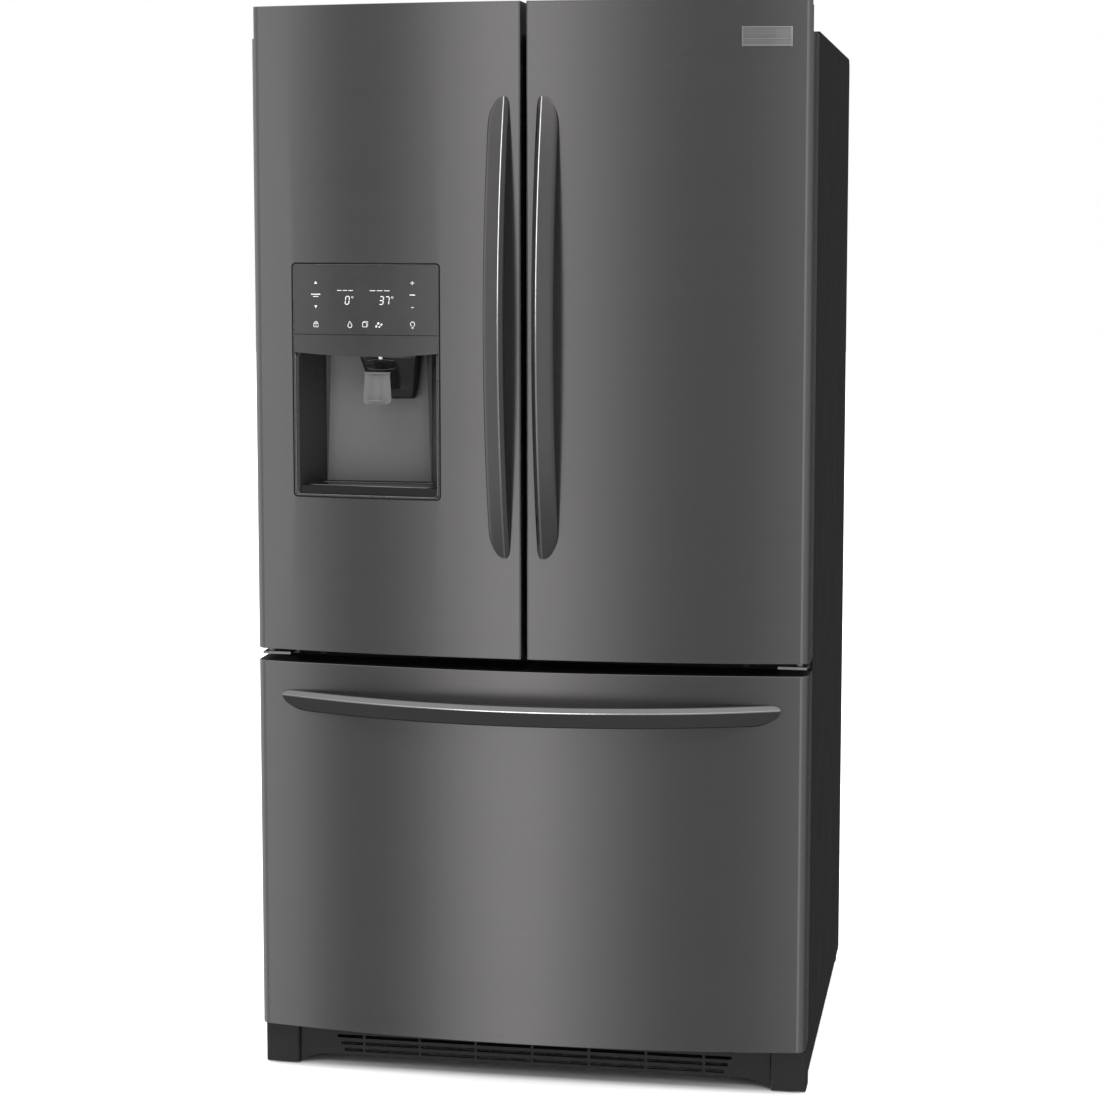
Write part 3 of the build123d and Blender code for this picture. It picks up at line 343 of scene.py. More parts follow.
# colour, roughness, grain per metre, relief, variation, coat, specular
MOULDED = {
    "cabinet_paint": ((0.010, 0.010, 0.0103), 0.42, 900.0, 0.25, 0.04, 0.0, 0.25),
    "rear_steel": ((0.22, 0.225, 0.23), 0.45, 500.0, 0.08, 0.03),
    "white_liner": ((0.72, 0.73, 0.74), 0.34, 700.0, 0.03, 0.004, 0.05),
    "foam": ((0.82, 0.74, 0.50), 0.8, 200.0, 0.5, 0.08),
    "roller_plastic": ((0.05, 0.05, 0.052), 0.5),
    "black_plastic": ((0.014, 0.014, 0.0143), 0.42, 1500.0, 0.2, 0.08, 0.0, 0.35),
    "grey_trim": ((0.62, 0.64, 0.66), 0.32, 900.0, 0.05, 0.03),
    "white_plastic": ((0.78, 0.79, 0.80), 0.35, 900.0, 0.06, 0.02),
    "light_lens": ((0.86, 0.88, 0.90), 0.25, 600.0, 0.10, 0.01),
    "compressor_black": ((0.018, 0.018, 0.019), 0.25, 200.0, 0.05, 0.1, 0.4),
    "coil_metal": ((0.05, 0.05, 0.052), 0.4, 400.0, 0.08, 0.15),
    "gasket": ((0.10, 0.10, 0.105), 0.55, 900.0, 0.10, 0.05),
    "dispenser_black": ((0.022, 0.022, 0.0225), 0.30, 1600.0, 0.05, 0.06),
    "mullion_grey": ((0.50, 0.51, 0.53), 0.35, 900.0, 0.05, 0.03),
}
MATERIALS.update({name: moulded(name, *look) for name, look in MOULDED.items()})

# nodes and pieces with a look of their own
OWN_MATERIAL = {
    # black paint made darker and duller still: partly its own colour, partly painted shade behind the
    # grille slots
    "base_frame": moulded("base_frame", (0.004, 0.004, 0.004), 0.8, 900.0, 0.1, 0.05, 0.0, 0.05),
    "drip_tray": moulded("tray_black", (0.010, 0.010, 0.0102), 0.30, 1200.0, 0.05, 0.05, 0.0, 0.3),
}
MARKS = moulded("panel_marks", (0.72, 0.73, 0.75), 0.5, 900.0, 0.0, 0.0)
# lighter than the door's metal: a painted highlight along the dispenser's rims, the chute's mouth and
# the paddle's lip
RIM_HIGHLIGHT = brushed("rim_painted_highlight", (0.30, 0.297, 0.295), (60.0, 60.0, 60.0), (0.25, 0.32), 0.05,
                    stretch=0.0, turn=0.0)
HANDLE_METAL = brushed("handle_metal", (0.145, 0.141, 0.140), (40.0, 40.0, 40.0), (0.24, 0.26),
                       0.02, stretch=0.0, turn=0.0, relief=0.0)
# the crease's metal is lighter than the bar's: a painted highlight along the crease
CREASE_HIGHLIGHT = brushed("crease_painted_highlight", (0.28, 0.278, 0.276), (40.0, 40.0, 40.0), (0.22, 0.25), 0.02,
                   stretch=0.0, turn=0.0)
TRAY_LIP = moulded("tray_lip", (0.03, 0.03, 0.031), 0.12, 400.0, 0.0, 0.03, 0.5)
GLOSS_BLACK = moulded("gloss_black", (0.008, 0.008, 0.0085), 0.16, 400.0, 0.01, 0.03, 0.3)
JOINT_BLACK = moulded("joint_black", (0.006, 0.006, 0.0062), 0.5, 900.0, 0.0, 0.03, 0.0, 0.2)
RECESS_SATIN = moulded("recess_satin", (0.115, 0.115, 0.117), 0.42, 1200.0, 0.04, 0.03)
PADDLE = clear("paddle_smoke", (0.22, 0.22, 0.225), 0.20, 0.45, 60.0)

for node, obj in NODES.items():
    obj.data.materials.clear()
    obj.data.materials.append(OWN_MATERIAL.get(node, MATERIALS[SLOT_OF[node]]))


# ------------------------------------------------------------------ handles
def handle_section(z, end, reach_middle):
    """Reach of the ridge, and the narrow and broad edges' x, at one height of a handle."""
    broad_tip, narrow_tip, point = 0.046, 0.016, 0.0022
    narrow, broad = -0.0090, 0.0265
    rise = reach_middle - HANDLE_END_REACH
    radius = (end * end + rise * rise) / (2 * rise)
    reach = HANDLE_END_REACH + sqrt(radius * radius - z * z) - (radius - rise)
    swell = []
    for tip in (narrow_tip, broad_tip):
        inward = min((end - abs(z)) / tip, 1.0)
        swell.append(sqrt(max(0.0, 1 - (1 - inward)**2)))
    left = -point + (narrow + point) * swell[0]
    right = point + (broad - point) * swell[1]
    return reach, left, right


def handle_heights(end, steps=120):
    """Heights of a handle's sections, closer together at its tips."""
    return [-end * cos(pi * i / steps) for i in range(steps + 1)]


def handle_mesh(name, length, reach_middle):
    """Bowed bar with an off-centre crease and pointed ends, upright, crease at x = 0.

    The crease stands reach ahead (towards -Y) of y = 0.  The broad face falls away on +X.
    """
    narrow_fall, broad_fall = 0.89, 0.46
    thick, edge_start = 0.0065, 0.84
    narrow_shares = (1.0, 0.985, 0.94, 0.84, 0.66, 0.44, 0.24, 0.10, 0.0)
    broad_shares = (0.03, 0.10, 0.24, 0.42, 0.60, 0.76, 0.88, 0.95, 0.985, 1.0)
    rings = []
    for z in handle_heights(length / 2):
        reach, left, right = handle_section(z, length / 2, reach_middle)
        front = [(left * share, share) for share in narrow_shares]
        front += [(right * share, share) for share in broad_shares]
        loop = [(x, share, True) for x, share in front]
        loop += [(x, share, False) for x, share in reversed(front)]
        ring = []
        for x, share, ahead in loop:
            fall = -narrow_fall * x if x < 0 else broad_fall * x
            past_edge = max(0.0, (share - edge_start) / (1 - edge_start))
            edge = 0.5 * (1 - sqrt(max(0.0, 1 - past_edge**2)))
            ring.append((x, -reach + fall + thick * (edge if ahead else 1 - edge), z))
        rings.append(ring)
    return loft_mesh(name, rings)


def crease_mesh(name, length, reach_middle, lean=0.0):
    """Lighter line along a handle's crease, a painted highlight, upright, tapering to its tips.

    Lean turns it to the narrow side.
    """
    widest, face_share, slope, proud = 0.0013, 0.35, 0.35, 0.00025
    shares = (-1, -0.5, 0, 0.5, 1)
    heights = handle_heights(length / 2)
    verts = []
    for z in heights:
        reach, left, right = handle_section(z, length / 2, reach_middle)
        half = min(widest, face_share * -left, face_share * right)
        verts += [(half * share, -reach - proud + slope * half * share * share - lean * half * share, z)
                  for share in shares]
    return mesh_of(name, verts, grid_faces(len(heights) - 1, len(shares) - 1))


def post_mesh(x, y, z):
    """Flared mounting post along Y, its foot in the skin whose front is at y."""
    front, back = y - POST_LENGTH, y + SINK
    profile = ((0.0, 0.0105), (0.15, 0.0088), (0.35, 0.0076), (0.75, 0.0072), (1.0, 0.0085))
    rings = [[(x + radius * c, back + (front - back) * share, z + radius * s) for c, s in circle(28)]
             for share, radius in profile]
    return loft_mesh("post", rings, False)


def fit_handle(word, bar, crease, posts, body, node):
    """Make the pieces of one handle: its crease line, and the bar with its posts."""
    new_piece(f"crease_{word}", crease, body, CREASE_HIGHLIGHT)
    mesh = turned_outward(joined(f"handle_{word}", [bar] + posts))
    piece = new_piece(f"handle_{word}", mesh, body, HANDLE_METAL, [node])
    soften(piece, 28)


def door_handle(side):
    """Handle of one door; side is -1 for the left door and 1 for the right one."""
    word = "left" if side < 0 else "right"
    node = f"door_{word}_handle"
    low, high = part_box(node)
    ridge_x = side * (min(abs(low.x), abs(high.x)) + HANDLE_EDGE_TO_CREASE)
    middle, length = (low.z + high.z) / 2, high.z - low.z
    face = face_y(f"door_{word}_skin", ridge_x, middle)
    bar = handle_mesh(f"handle_{word}", length, face - low.y)
    crease = crease_mesh(f"crease_{word}", length, face - low.y)
    for mesh in (bar, crease):
        mesh.transform(Matrix.Diagonal((side, 1, 1, 1)))
        mesh.transform(Matrix.Translation((ridge_x, face, middle)))
    post_z = length / 2 - HANDLE_POST_INSET
    posts = [post_mesh(ridge_x + side * POST_TO_CREASE, face, middle + end * post_z)
             for end in (-1, 1)]
    fit_handle(word, bar, crease, posts, f"door_{word}", node)


def drawer_handle():
    """Long handle across the drawer, its broad face downwards."""
    crease_lean = 0.2
    low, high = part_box("drawer_handle")
    length = high.x - low.x
    ridge_z = high.z - HANDLE_EDGE_TO_CREASE
    edge = face_y("drawer_skin", high.x, ridge_z)
    bar = handle_mesh("handle_drawer", length, edge - low.y)
    crease = crease_mesh("crease_drawer", length, edge - low.y, crease_lean)
    for mesh in (bar, crease):
        mesh.transform(Matrix.Rotation(pi / 2, 4, "Y"))
        mesh.transform(Matrix.Translation((0, edge, ridge_z)))
    post_x = length / 2 - HANDLE_POST_INSET
    y = face_y("drawer_skin", post_x, ridge_z)
    posts = [post_mesh(end * post_x, y, ridge_z - POST_TO_CREASE) for end in (-1, 1)]
    fit_handle("drawer", bar, crease, posts, "freezer_drawer", "drawer_handle")


for side in (-1, 1):
    door_handle(side)
drawer_handle()


# ------------------------------------------------------------------ dispenser's rim and panel marks
def panel_y(x, z):
    """Front of the control panel."""
    proud = 0.00015
    return face_y("control_panel", x, z) - proud


def strip(points, width):
    """Flat ribbon along a line of (x, z) points."""
    line = [Vector(p) for p in points]
    verts = []
    for i, here in enumerate(line):
        before, after = line[max(i - 1, 0)], line[min(i + 1, len(line) - 1)]
        along = (after - before).normalized()
        normal = Vector((-along.y, along.x)) * (width / 2)
        verts += [here + normal, here - normal]
    return verts, grid_faces(len(line) - 1, 1)


def polygon(points):
    """Filled outline."""
    return [Vector(p) for p in points], [tuple(range(len(points)))]


SEGMENTS = {"0": "abcdef", "3": "abcdg", "7": "abc"}


def digit(value, x, z, width=0.0062, height=0.0125, thick=0.0015):
    """Slanted seven-segment digit, its lower left corner at x, z."""
    lean, shrink, half = 0.12, 0.10 * width, height / 2
    ends = {"a": ((0, height), (width, height)), "b": ((width, height), (width, half)),
            "c": ((width, half), (width, 0)), "d": ((0, 0), (width, 0)),
            "e": ((0, 0), (0, half)), "f": ((0, half), (0, height)), "g": ((0, half), (width, half))}
    shapes = []
    for name in SEGMENTS[value]:
        first, last = (Vector(end) for end in ends[name])
        short = (last - first).normalized() * shrink
        line = [(x + end.x + lean * end.y, z + end.y) for end in (first + short, last - short)]
        shapes.append(strip(line, thick))
    return shapes


def marks_mesh(name, shapes):
    """Thin printed marks laid on the bowed panel."""
    verts, faces = [], []
    for points, polygons in shapes:
        base = len(verts)
        verts += [(p.x, panel_y(p.x, p.y), p.y) for p in points]
        faces += [tuple(base + i for i in corners) for corners in polygons]
    mesh = bpy.data.meshes.new(name)
    mesh.from_pydata(verts, [], faces)
    bm = bmesh.new()
    bm.from_mesh(mesh)
    bmesh.ops.recalc_face_normals(bm, faces=bm.faces)
    for face in bm.faces:
        if face.normal.y > 0:
            face.normal_flip()
    bm.to_mesh(mesh)
    bm.free()
    return mesh


def key_marks(near, far, rows):
    """Arrows and bars down the panel's left, plus, bar and minus down its right."""
    arrow, plus = 0.0026, 0.003
    shapes = []
    for z, up in ((rows[0], 1), (rows[2], -1)):
        foot = z - up * 0.002
        shapes.append(polygon([(near - arrow, foot), (near + arrow, foot), (near, z + up * arrow)]))
    # middle x, z, half length and width of each bar
    for x, z, half, width in ((near, rows[1], 0.008, WIDE_MARK_WIDTH),
                              (near, rows[1] - 0.0035, 0.0045, 0.0012),
                              (far, rows[0], plus, MARK_WIDTH),
                              (far, rows[1], 0.0045, WIDE_MARK_WIDTH),
                              (far, rows[2], 0.0022, MARK_WIDTH)):
        shapes.append(strip([(x - half, z), (x + half, z)], width))
    shapes.append(strip([(far, rows[0] - plus), (far, rows[0] + plus)], MARK_WIDTH))
    return shapes


def lock_and_lamp(near, far, z):
    """Padlock on the left and lamp on the right, at the bottom of the panel."""
    half, top, bottom = 0.0038, z + 0.0012, z - 0.0042
    shackle, bulb = 0.0029, 0.0036
    lines = [
        [(near - half, top), (near - half, bottom), (near + half, bottom), (near + half, top),
         (near - half - 0.0004, top)],
        [(near, z - 0.0008), (near, z - 0.0024)],
        arc(near, top, shackle, 0, 180),
        arc(far, z + 0.0018, bulb, -60, 240),
        [(far - 0.0017, z - 0.0030), (far + 0.0017, z - 0.0030)],
        [(far - 0.0014, z - 0.0050), (far + 0.0014, z - 0.0050)],
    ]
    return [strip(line, MARK_WIDTH) for line in lines]


def temperatures(left, top):
    """The two temperatures, a degree ring after each and a broken bar over each."""
    z, ring_z, bar_z = top - 0.0625, top - 0.0513, top - 0.0405
    first, second = left + 0.0885, left + 0.1465
    ring, ring_width = 0.0014, 0.0007
    dash_pitch, dash = 0.72, 0.56
    shapes = digit("0", first, z) + digit("3", second, z) + digit("7", second + 0.0098, z)
    for x in (first + 0.0125, second + 0.0222):
        shapes.append(strip(arc(x, ring_z, ring, 0, 360), ring_width))
    for x, width in ((first, 0.0135), (second + 0.001, 0.017)):
        for k in range(3):
            start = x - width + k * width * dash_pitch
            shapes.append(strip([(start, bar_z), (start + width * dash, bar_z)], MARK_WIDTH))
    return shapes


def drink_marks(left, z):
    """Drop, ice cube and crushed ice."""
    drop_x, cube_x, crush_x = left + 0.0965, left + 0.1215, left + 0.1455
    drop = arc(drop_x, z - 0.0014, 0.0034, 140, 400)
    drop += [(drop_x, z + 0.0056), (drop_x - 0.0026, z + 0.0008)]
    half, depth = 0.0034, 0.002
    x0, x1, z0, z1 = cube_x - half, cube_x + half, z - half, z + half
    square = [(x0, z0), (x1, z0), (x1, z1), (x0, z1), (x0, z0)]
    behind = [(x0, z1), (x0 + depth, z1 + depth), (x1 + depth, z1 + depth), (x1 + depth, z0 + depth),
              (x1, z0)]
    shapes = [strip(drop, MARK_WIDTH), strip(square, MARK_WIDTH), strip(behind, MARK_WIDTH * 0.8)]
    # four pieces of crushed ice: place from the middle, and size
    for dx, dz, size in ((-0.0040, -0.0022, 0.0021), (0.0012, -0.0030, 0.0017),
                         (0.0046, 0.0006, 0.0020), (-0.0008, 0.0024, 0.0022)):
        x, y = crush_x + dx, z + dz
        shapes.append(polygon([(x - size, y - size * 0.5), (x + size * 0.3, y - size),
                               (x + size, y + size * 0.4), (x - size * 0.2, y + size)]))
    return shapes


def panel_marks():
    """Display digits and small generic symbols."""
    low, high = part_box("control_panel")
    near, far, top = low.x + 0.038, high.x - 0.042, high.z
    rows = (top - 0.028, top - 0.047, top - 0.067, top - 0.0955)
    shapes = key_marks(near, far, rows) + lock_and_lamp(near, far, rows[3])
    shapes += temperatures(low.x, top) + drink_marks(low.x, rows[3])
    new_piece("panel_marks", marks_mesh("panel_marks", shapes), "door_left", MARKS)


def bead(name, outline, closed, radius, material, lift):
    """Thin rounded bead along an (x, z) outline, following the door's bow.

    Lift moves it back, into the door, from the surface.
    """
    longest = 0.012
    high_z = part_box("dispenser_housing")[1].z
    full = []
    after = outline[1:] + (outline[:1] if closed else [])
    for (xa, za), (xb, zb) in zip(outline, after):
        steps = max(1, int(sqrt((xb - xa)**2 + (zb - za)**2) / longest))
        full += [(xa + (xb - xa) * i / steps, za + (zb - za) * i / steps) for i in range(steps)]
    if not closed:
        full.append(outline[-1])
    curve = bpy.data.curves.new(name, "CURVE")
    curve.dimensions = "3D"
    curve.bevel_depth = radius
    curve.bevel_resolution = 3
    spline = curve.splines.new("POLY")
    spline.points.add(len(full) - 1)
    spline.use_cyclic_u = closed
    for point, (x, z) in zip(spline.points, full):
        y = min(face_y("door_left_skin", x, high_z + 0.03),
                face_y("dispenser_housing", x, high_z - 0.001))
        point.co = (x, y + lift, z, 1)
    holder = bpy.data.objects.new(name, curve)
    bpy.context.scene.collection.objects.link(holder)
    bpy.context.view_layer.update()
    evaluated = holder.evaluated_get(bpy.context.evaluated_depsgraph_get())
    mesh = bpy.data.meshes.new_from_object(evaluated)
    bpy.data.objects.remove(holder)
    mesh.polygons.foreach_set("use_smooth", [True] * len(mesh.polygons))
    return new_piece(name, mesh, "door_left", material)


def dispenser_beads():
    """Dark joint around the dispenser, a painted highlight line inside it and one around the recess."""
    low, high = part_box("dispenser_housing")
    x0, x1, z0, z1 = low.x, high.x, low.z, high.z
    joint = rounded(x0, x1, z0, z1, 0.006)
    bead("dispenser_joint", joint, True, radius=0.0012, material=JOINT_BLACK, lift=0.0003)
    inset = 0.0022
    rim = rounded(x0 + inset, x1 - inset, z0 + inset, z1 - inset, 0.0045)
    bead("dispenser_rim", rim, True, radius=0.0005, material=RIM_HIGHLIGHT, lift=0.0)
    left, right, bottom = x0 + 0.0046, x1 - 0.0046, z0 + 0.0038
    top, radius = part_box("control_panel")[0].z + 0.004, 0.007
    path = [(left, top), (left, bottom + 0.008)]
    path += arc(left + radius, bottom + radius, radius, 180, 270, 6)
    path += arc(right - radius, bottom + radius, radius, 270, 360, 6) + [(right, top)]
    bead("recess_rim", path, False, radius=0.0007, material=RIM_HIGHLIGHT, lift=-0.0003)


def hood_ring(x0, x1, y0, y1, z, r):
    """Rounded outline of the hood, seen from above, at one height."""
    return [(x, y, z) for x, y in rounded(x0, x1, y0, y1, r, 5)]


def tube_round(path, radius, sides=8):
    """Rings of a thin tube along a closed loop of points."""
    rings = []
    for k, here in enumerate(path):
        after, before = path[(k + 1) % len(path)], path[k - 1]
        along = (after - before).normalized()
        side = along.cross(Vector((0, 1, 0))).normalized()
        up = side.cross(along)
        rings.append([here + (side * c + up * s) * radius for c, s in circle(sides)])
    return rings + rings[:1]


def dispenser_hood():
    """Smooth chute hood with its oval mouth, over the plain CAD chute."""
    low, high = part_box("ice_chute")
    x0, x1 = low.x, high.x
    middle = (x0 + x1) / 2
    back = face_y("dispenser_housing", middle + 0.06, IN_RECESS_Z)
    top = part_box("control_panel")[0].z + 0.012
    front = back - 0.047
    # how far the left, right and front sides move in, the depth below the top, and the corner radius
    sections = ((-0.002, 0.004, -0.004, 0.0, 0.010), (0.0, 0.003, -0.002, 0.016, 0.012),
                (0.003, 0.001, 0.004, 0.030, 0.013), (0.007, -0.002, 0.012, 0.048, 0.012),
                (0.010, -0.005, 0.016, 0.066, 0.011), (0.013, -0.008, 0.019, 0.080, 0.009),
                (0.016, -0.011, 0.023, 0.083, 0.007))
    rings = [hood_ring(x0 + left, x1 + right, front + ahead, back, top - drop, r)
             for left, right, ahead, drop, r in sections]
    new_piece("dispenser_hood", loft_mesh("dispenser_hood", rings), "door_left",
              GLOSS_BLACK, ["ice_chute"])
    half_width, half_height, bulge, wire = 0.030, 0.0085, 0.012, 0.0006
    mouth_x, mouth_y, mouth_z = middle - 0.012, front - 0.0045, top - 0.026
    mouth = [Vector((mouth_x + half_width * c, mouth_y + bulge * abs(c)**3, mouth_z + half_height * s))
             for c, s in circle(48)]
    # the mouth's thin ring is a painted highlight
    new_piece("chute_mouth", loft_mesh("chute_mouth", tube_round(mouth, wire), False), "door_left",
              RIM_HIGHLIGHT)
    # rise above the hood's top and radius, down the outside and up the bore
    nozzle_x, nozzle_y = middle - 0.0095, front - 0.0115
    profile = ((0.001, 0.0034), (-0.014, 0.0034), (-0.0165, 0.0030), (-0.0168, 0.0022),
               (-0.013, 0.0018))
    rings = [[(nozzle_x + radius * c, nozzle_y + radius * s, top + rise) for c, s in circle(24)]
             for rise, radius in profile]
    new_piece("water_nozzle", loft_mesh("water_nozzle", rings), "door_left",
              MATERIALS["white_plastic"])


def screw_mesh(x, y, z):
    """Pan-head screw with a washer, its axis along Y, facing the back."""
    profile = ((0.0062, 0.0), (0.0062, 0.0006), (0.0044, 0.0008), (0.0042, 0.0018),
               (0.0030, 0.0027), (0.0012, 0.0030))
    rings = [[(x + radius * c, y + out, z + radius * s) for c, s in circle(18)]
             for radius, out in profile]
    return loft_mesh("screw", rings)


def rear_screws():
    """Screws around the back panel and the machine space cover."""
    top_margin = 0.008
    places = []
    for node, margin, side_rows in (("rear_panel", 0.016, 5), ("machine_cover", 0.012, 1)):
        low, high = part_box(node)
        x0, x1, z0, z1 = low.x + margin, high.x - margin, low.z + margin, high.z - margin - top_margin
        places += [(node, x0 + (x1 - x0) * i / 6, z) for i in range(7) for z in (z0, z1)]
        places += [(node, x, z0 + (z1 - z0) * i / (side_rows + 1))
                   for i in range(1, side_rows + 1) for x in (x0, x1)]
    meshes = []
    for node, x, z in places:
        found, point, _, _ = NODES[node].ray_cast(Vector((x, RAY_START, z)), Vector((0, -1, 0)))
        if found:
            meshes.append(screw_mesh(x, point.y, z))
    piece = new_piece("rear_screws", joined("rear_screws", meshes), "cabinet",
                      MATERIALS["zinc_steel"])
    soften(piece, 40)


def chute_inlet():
    """White funnel through the door's inner wall, where the ice drops in."""
    low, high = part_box("ice_chute")
    margin, height = 0.006, 0.066
    x0, x1, z0, z1 = low.x + margin, high.x - margin, high.z - height, high.z
    # distance behind the CAD chute's inner end, growth of the outline, and corner radius
    sections = ((-0.002, 0.005, 0.010), (0.0016, 0.005, 0.010), (0.0030, 0.0035, 0.009),
                (0.0030, -0.001, 0.008), (0.0010, -0.0035, 0.008), (-0.040, -0.006, 0.010),
                (-0.078, -0.012, 0.012))
    rings = [[(x, high.y + behind, z) for x, z in rounded(x0 - grow, x1 + grow, z0 - grow, z1 + grow, r)]
             for behind, grow, r in sections]
    funnel = new_piece("chute_inlet", loft_mesh("chute_inlet", rings, False), "door_left",
                       MATERIALS["white_plastic"])
    soften(funnel, 40)
    flap = []
    for inset, behind in ((0.004, -0.074), (0.024, -0.078)):
        outline = rounded(x0 + inset, x1 - inset, z0 + inset, z1 - inset, 0.006)
        flap.append([(x, high.y + behind, z) for x, z in outline])
    new_piece("chute_flap", loft_mesh("chute_flap", flap), "door_left", GLOSS_BLACK)


def paddle_blade(middle_x, middle_y, half, low_z, high_z):
    """Scooped blade of the paddle, its foot curled forward and its lower corners rounded."""
    rows = columns = 18
    top_gap = 0.002
    taper = 0.14
    corner, corner_start = 0.007, 0.8
    curl_start, curl_depth, bow = 0.78, 0.0055, 0.0015
    thickness, foot_thickness, foot_start = 0.0026, 0.0034, 0.9
    verts = []
    for layer in (0, 1):
        for i in range(rows + 1):
            share = i / rows
            z = high_z - top_gap - (high_z - low_z - top_gap) * share
            width = half * (1 - taper + taper * share)
            if share > corner_start:
                past = (share - corner_start) / (1 - corner_start)
                width -= corner * (1 - sqrt(max(0.0, 1 - past**2)))
            curl = -curl_depth * max(0.0, (share - curl_start) / (1 - curl_start))**2
            curl -= bow * sin(pi * share)
            thick = thickness if share < foot_start else foot_thickness
            for k in range(columns + 1):
                across = 2 * k / columns - 1
                scoop = PADDLE_SCOOP * (1 - across**2)
                y = middle_y - 0.0012 + scoop + curl + layer * thick
                verts.append((middle_x + width * across, y, z))
    stride = columns + 1
    layer_size = stride * (rows + 1)
    front = grid_faces(rows, columns)
    faces = front + [tuple(a + layer_size for a in reversed(face)) for face in front]
    edge = list(range(stride)) + [i * stride + columns for i in range(1, rows + 1)]
    edge += [rows * stride + k for k in range(columns - 1, -1, -1)]
    edge += [i * stride for i in range(rows - 1, 0, -1)]
    for a, b in zip(edge, edge[1:] + edge[:1]):
        faces.append((a, a + layer_size, b + layer_size, b))
    return mesh_of("paddle", verts, faces)


def paddle():
    """Curved translucent paddle with a painted highlight along its lip, over the CAD lever."""
    low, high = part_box("dispenser_paddle")
    middle_x, middle_y = (low.x + high.x) / 2, (low.y + high.y) / 2
    half = (high.x - low.x) / 2 - 0.0035
    blade = paddle_blade(middle_x, middle_y, half, low.z, high.z)
    axle_radius, lip_radius, lip_steps, lip_sides = 0.0018, 0.0009, 24, 8
    axle = [[(middle_x + 0.9 * half * side, middle_y + axle_radius * c, high.z - 0.002 + axle_radius * s)
             for c, s in circle(20)] for side in (-1, 1)]
    lip = []
    for k in range(lip_steps + 1):
        across = 2 * k / lip_steps - 1
        x = middle_x + (half - 0.008) * across
        y = middle_y - 0.0071 + PADDLE_SCOOP * (1 - across**2)
        lip.append([(x, y + lip_radius * c, low.z + 0.0062 + lip_radius * s)
                    for c, s in circle(lip_sides)])
    mesh = joined("paddle", [blade, loft_mesh("axle", axle), loft_mesh("lip", lip)])
    piece = new_piece("paddle", mesh, "dispenser_paddle", PADDLE, ["dispenser_paddle"])
    soften(piece, 40)
    # the lip is the last part of the mesh
    piece.data.materials.append(RIM_HIGHLIGHT)
    lip_faces = lip_steps * lip_sides + 2
    for face in list(piece.data.polygons)[-lip_faces:]:
        face.material_index = 1


def recess_back():
    """Satin back plate of the recess, wider at the bottom, its edges rolled back."""
    low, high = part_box("dispenser_housing")
    z0, z1 = low.z + 0.021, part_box("control_panel")[0].z + 0.008
    middle = (low.x + high.x) / 2 + 0.003
    wall = face_y("dispenser_housing", middle + 0.05, IN_RECESS_Z)
    rows, columns = 10, 28
    foot_half, narrowing = 0.0885, 0.007
    proud, bow, roll, roll_start = 0.0014, 0.0012, 0.0016, 0.9
    verts = []
    for i in range(rows + 1):
        z = z0 + (z1 - z0) * i / rows
        half = foot_half - narrowing * i / rows
        for k in range(columns + 1):
            across = 2 * k / columns - 1
            back = roll * max(0.0, abs(across) - roll_start) / (1 - roll_start)
            ahead = proud + bow * (1 - across * across)
            verts.append((middle + half * across, wall - ahead + back, z))
    plate = mesh_of("recess_back", verts, grid_faces(rows, columns))
    new_piece("recess_back", plate, "door_left", RECESS_SATIN)


def tray_outline(x0, x1, back, front_left, front_right, r):
    """Outline of the tray, seen from above; its front follows the door's bow."""
    outline = arc(x1 - r, back - r, r, 0, 90, 8) + arc(x0 + r, back - r, r, 90, 180, 8)
    outline.append((x0, front_left + r))
    for i in range(1, 9):
        turn = pi * i / 16
        outline.append((x0 + r * (1 - cos(turn)), front_left + r * (1 - sin(turn))))
    for i in range(9):
        turn = pi * i / 16
        outline.append((x1 - r * (1 - sin(turn)), front_right + r * (1 - cos(turn))))
    return outline


def tray_top():
    """Dark tray plate with a bright rounded lip, over the tray's grid."""
    low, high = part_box("drip_tray")
    fronts = [face_y("dispenser_housing", x, low.z - 0.003) + 0.007
              for x in (low.x + 0.01, high.x - 0.01)]
    outline = tray_outline(low.x + 0.010, high.x - 0.008, high.y - 0.006, *fronts, 0.012)
    count = len(outline)
    centre = Vector((sum(x for x, _ in outline) / count, sum(y for _, y in outline) / count))
    z = high.z + 0.0004
    rings = []
    for inset, rise in ((0.0, 0.0), (0.001, 0.0011), (0.0022, 0.0012), (0.0034, 0.0003)):
        points = [Vector(point) for point in outline]
        moved = [point + (centre - point).normalized() * inset for point in points]
        rings.append([(point.x, point.y, z + rise) for point in moved])
    new_piece("tray_lip", loft_mesh("tray_lip", rings, False), "drip_tray", TRAY_LIP)
    level = [(x, y, z + 0.0003) for x, y, _ in rings[-1]]
    plate = mesh_of("tray_plate", level, [tuple(range(count))], False)
    new_piece("tray_plate", plate, "drip_tray", GLOSS_BLACK)


panel_marks()
dispenser_beads()
dispenser_hood()
rear_screws()
chute_inlet()
paddle()
recess_back()
tray_top()


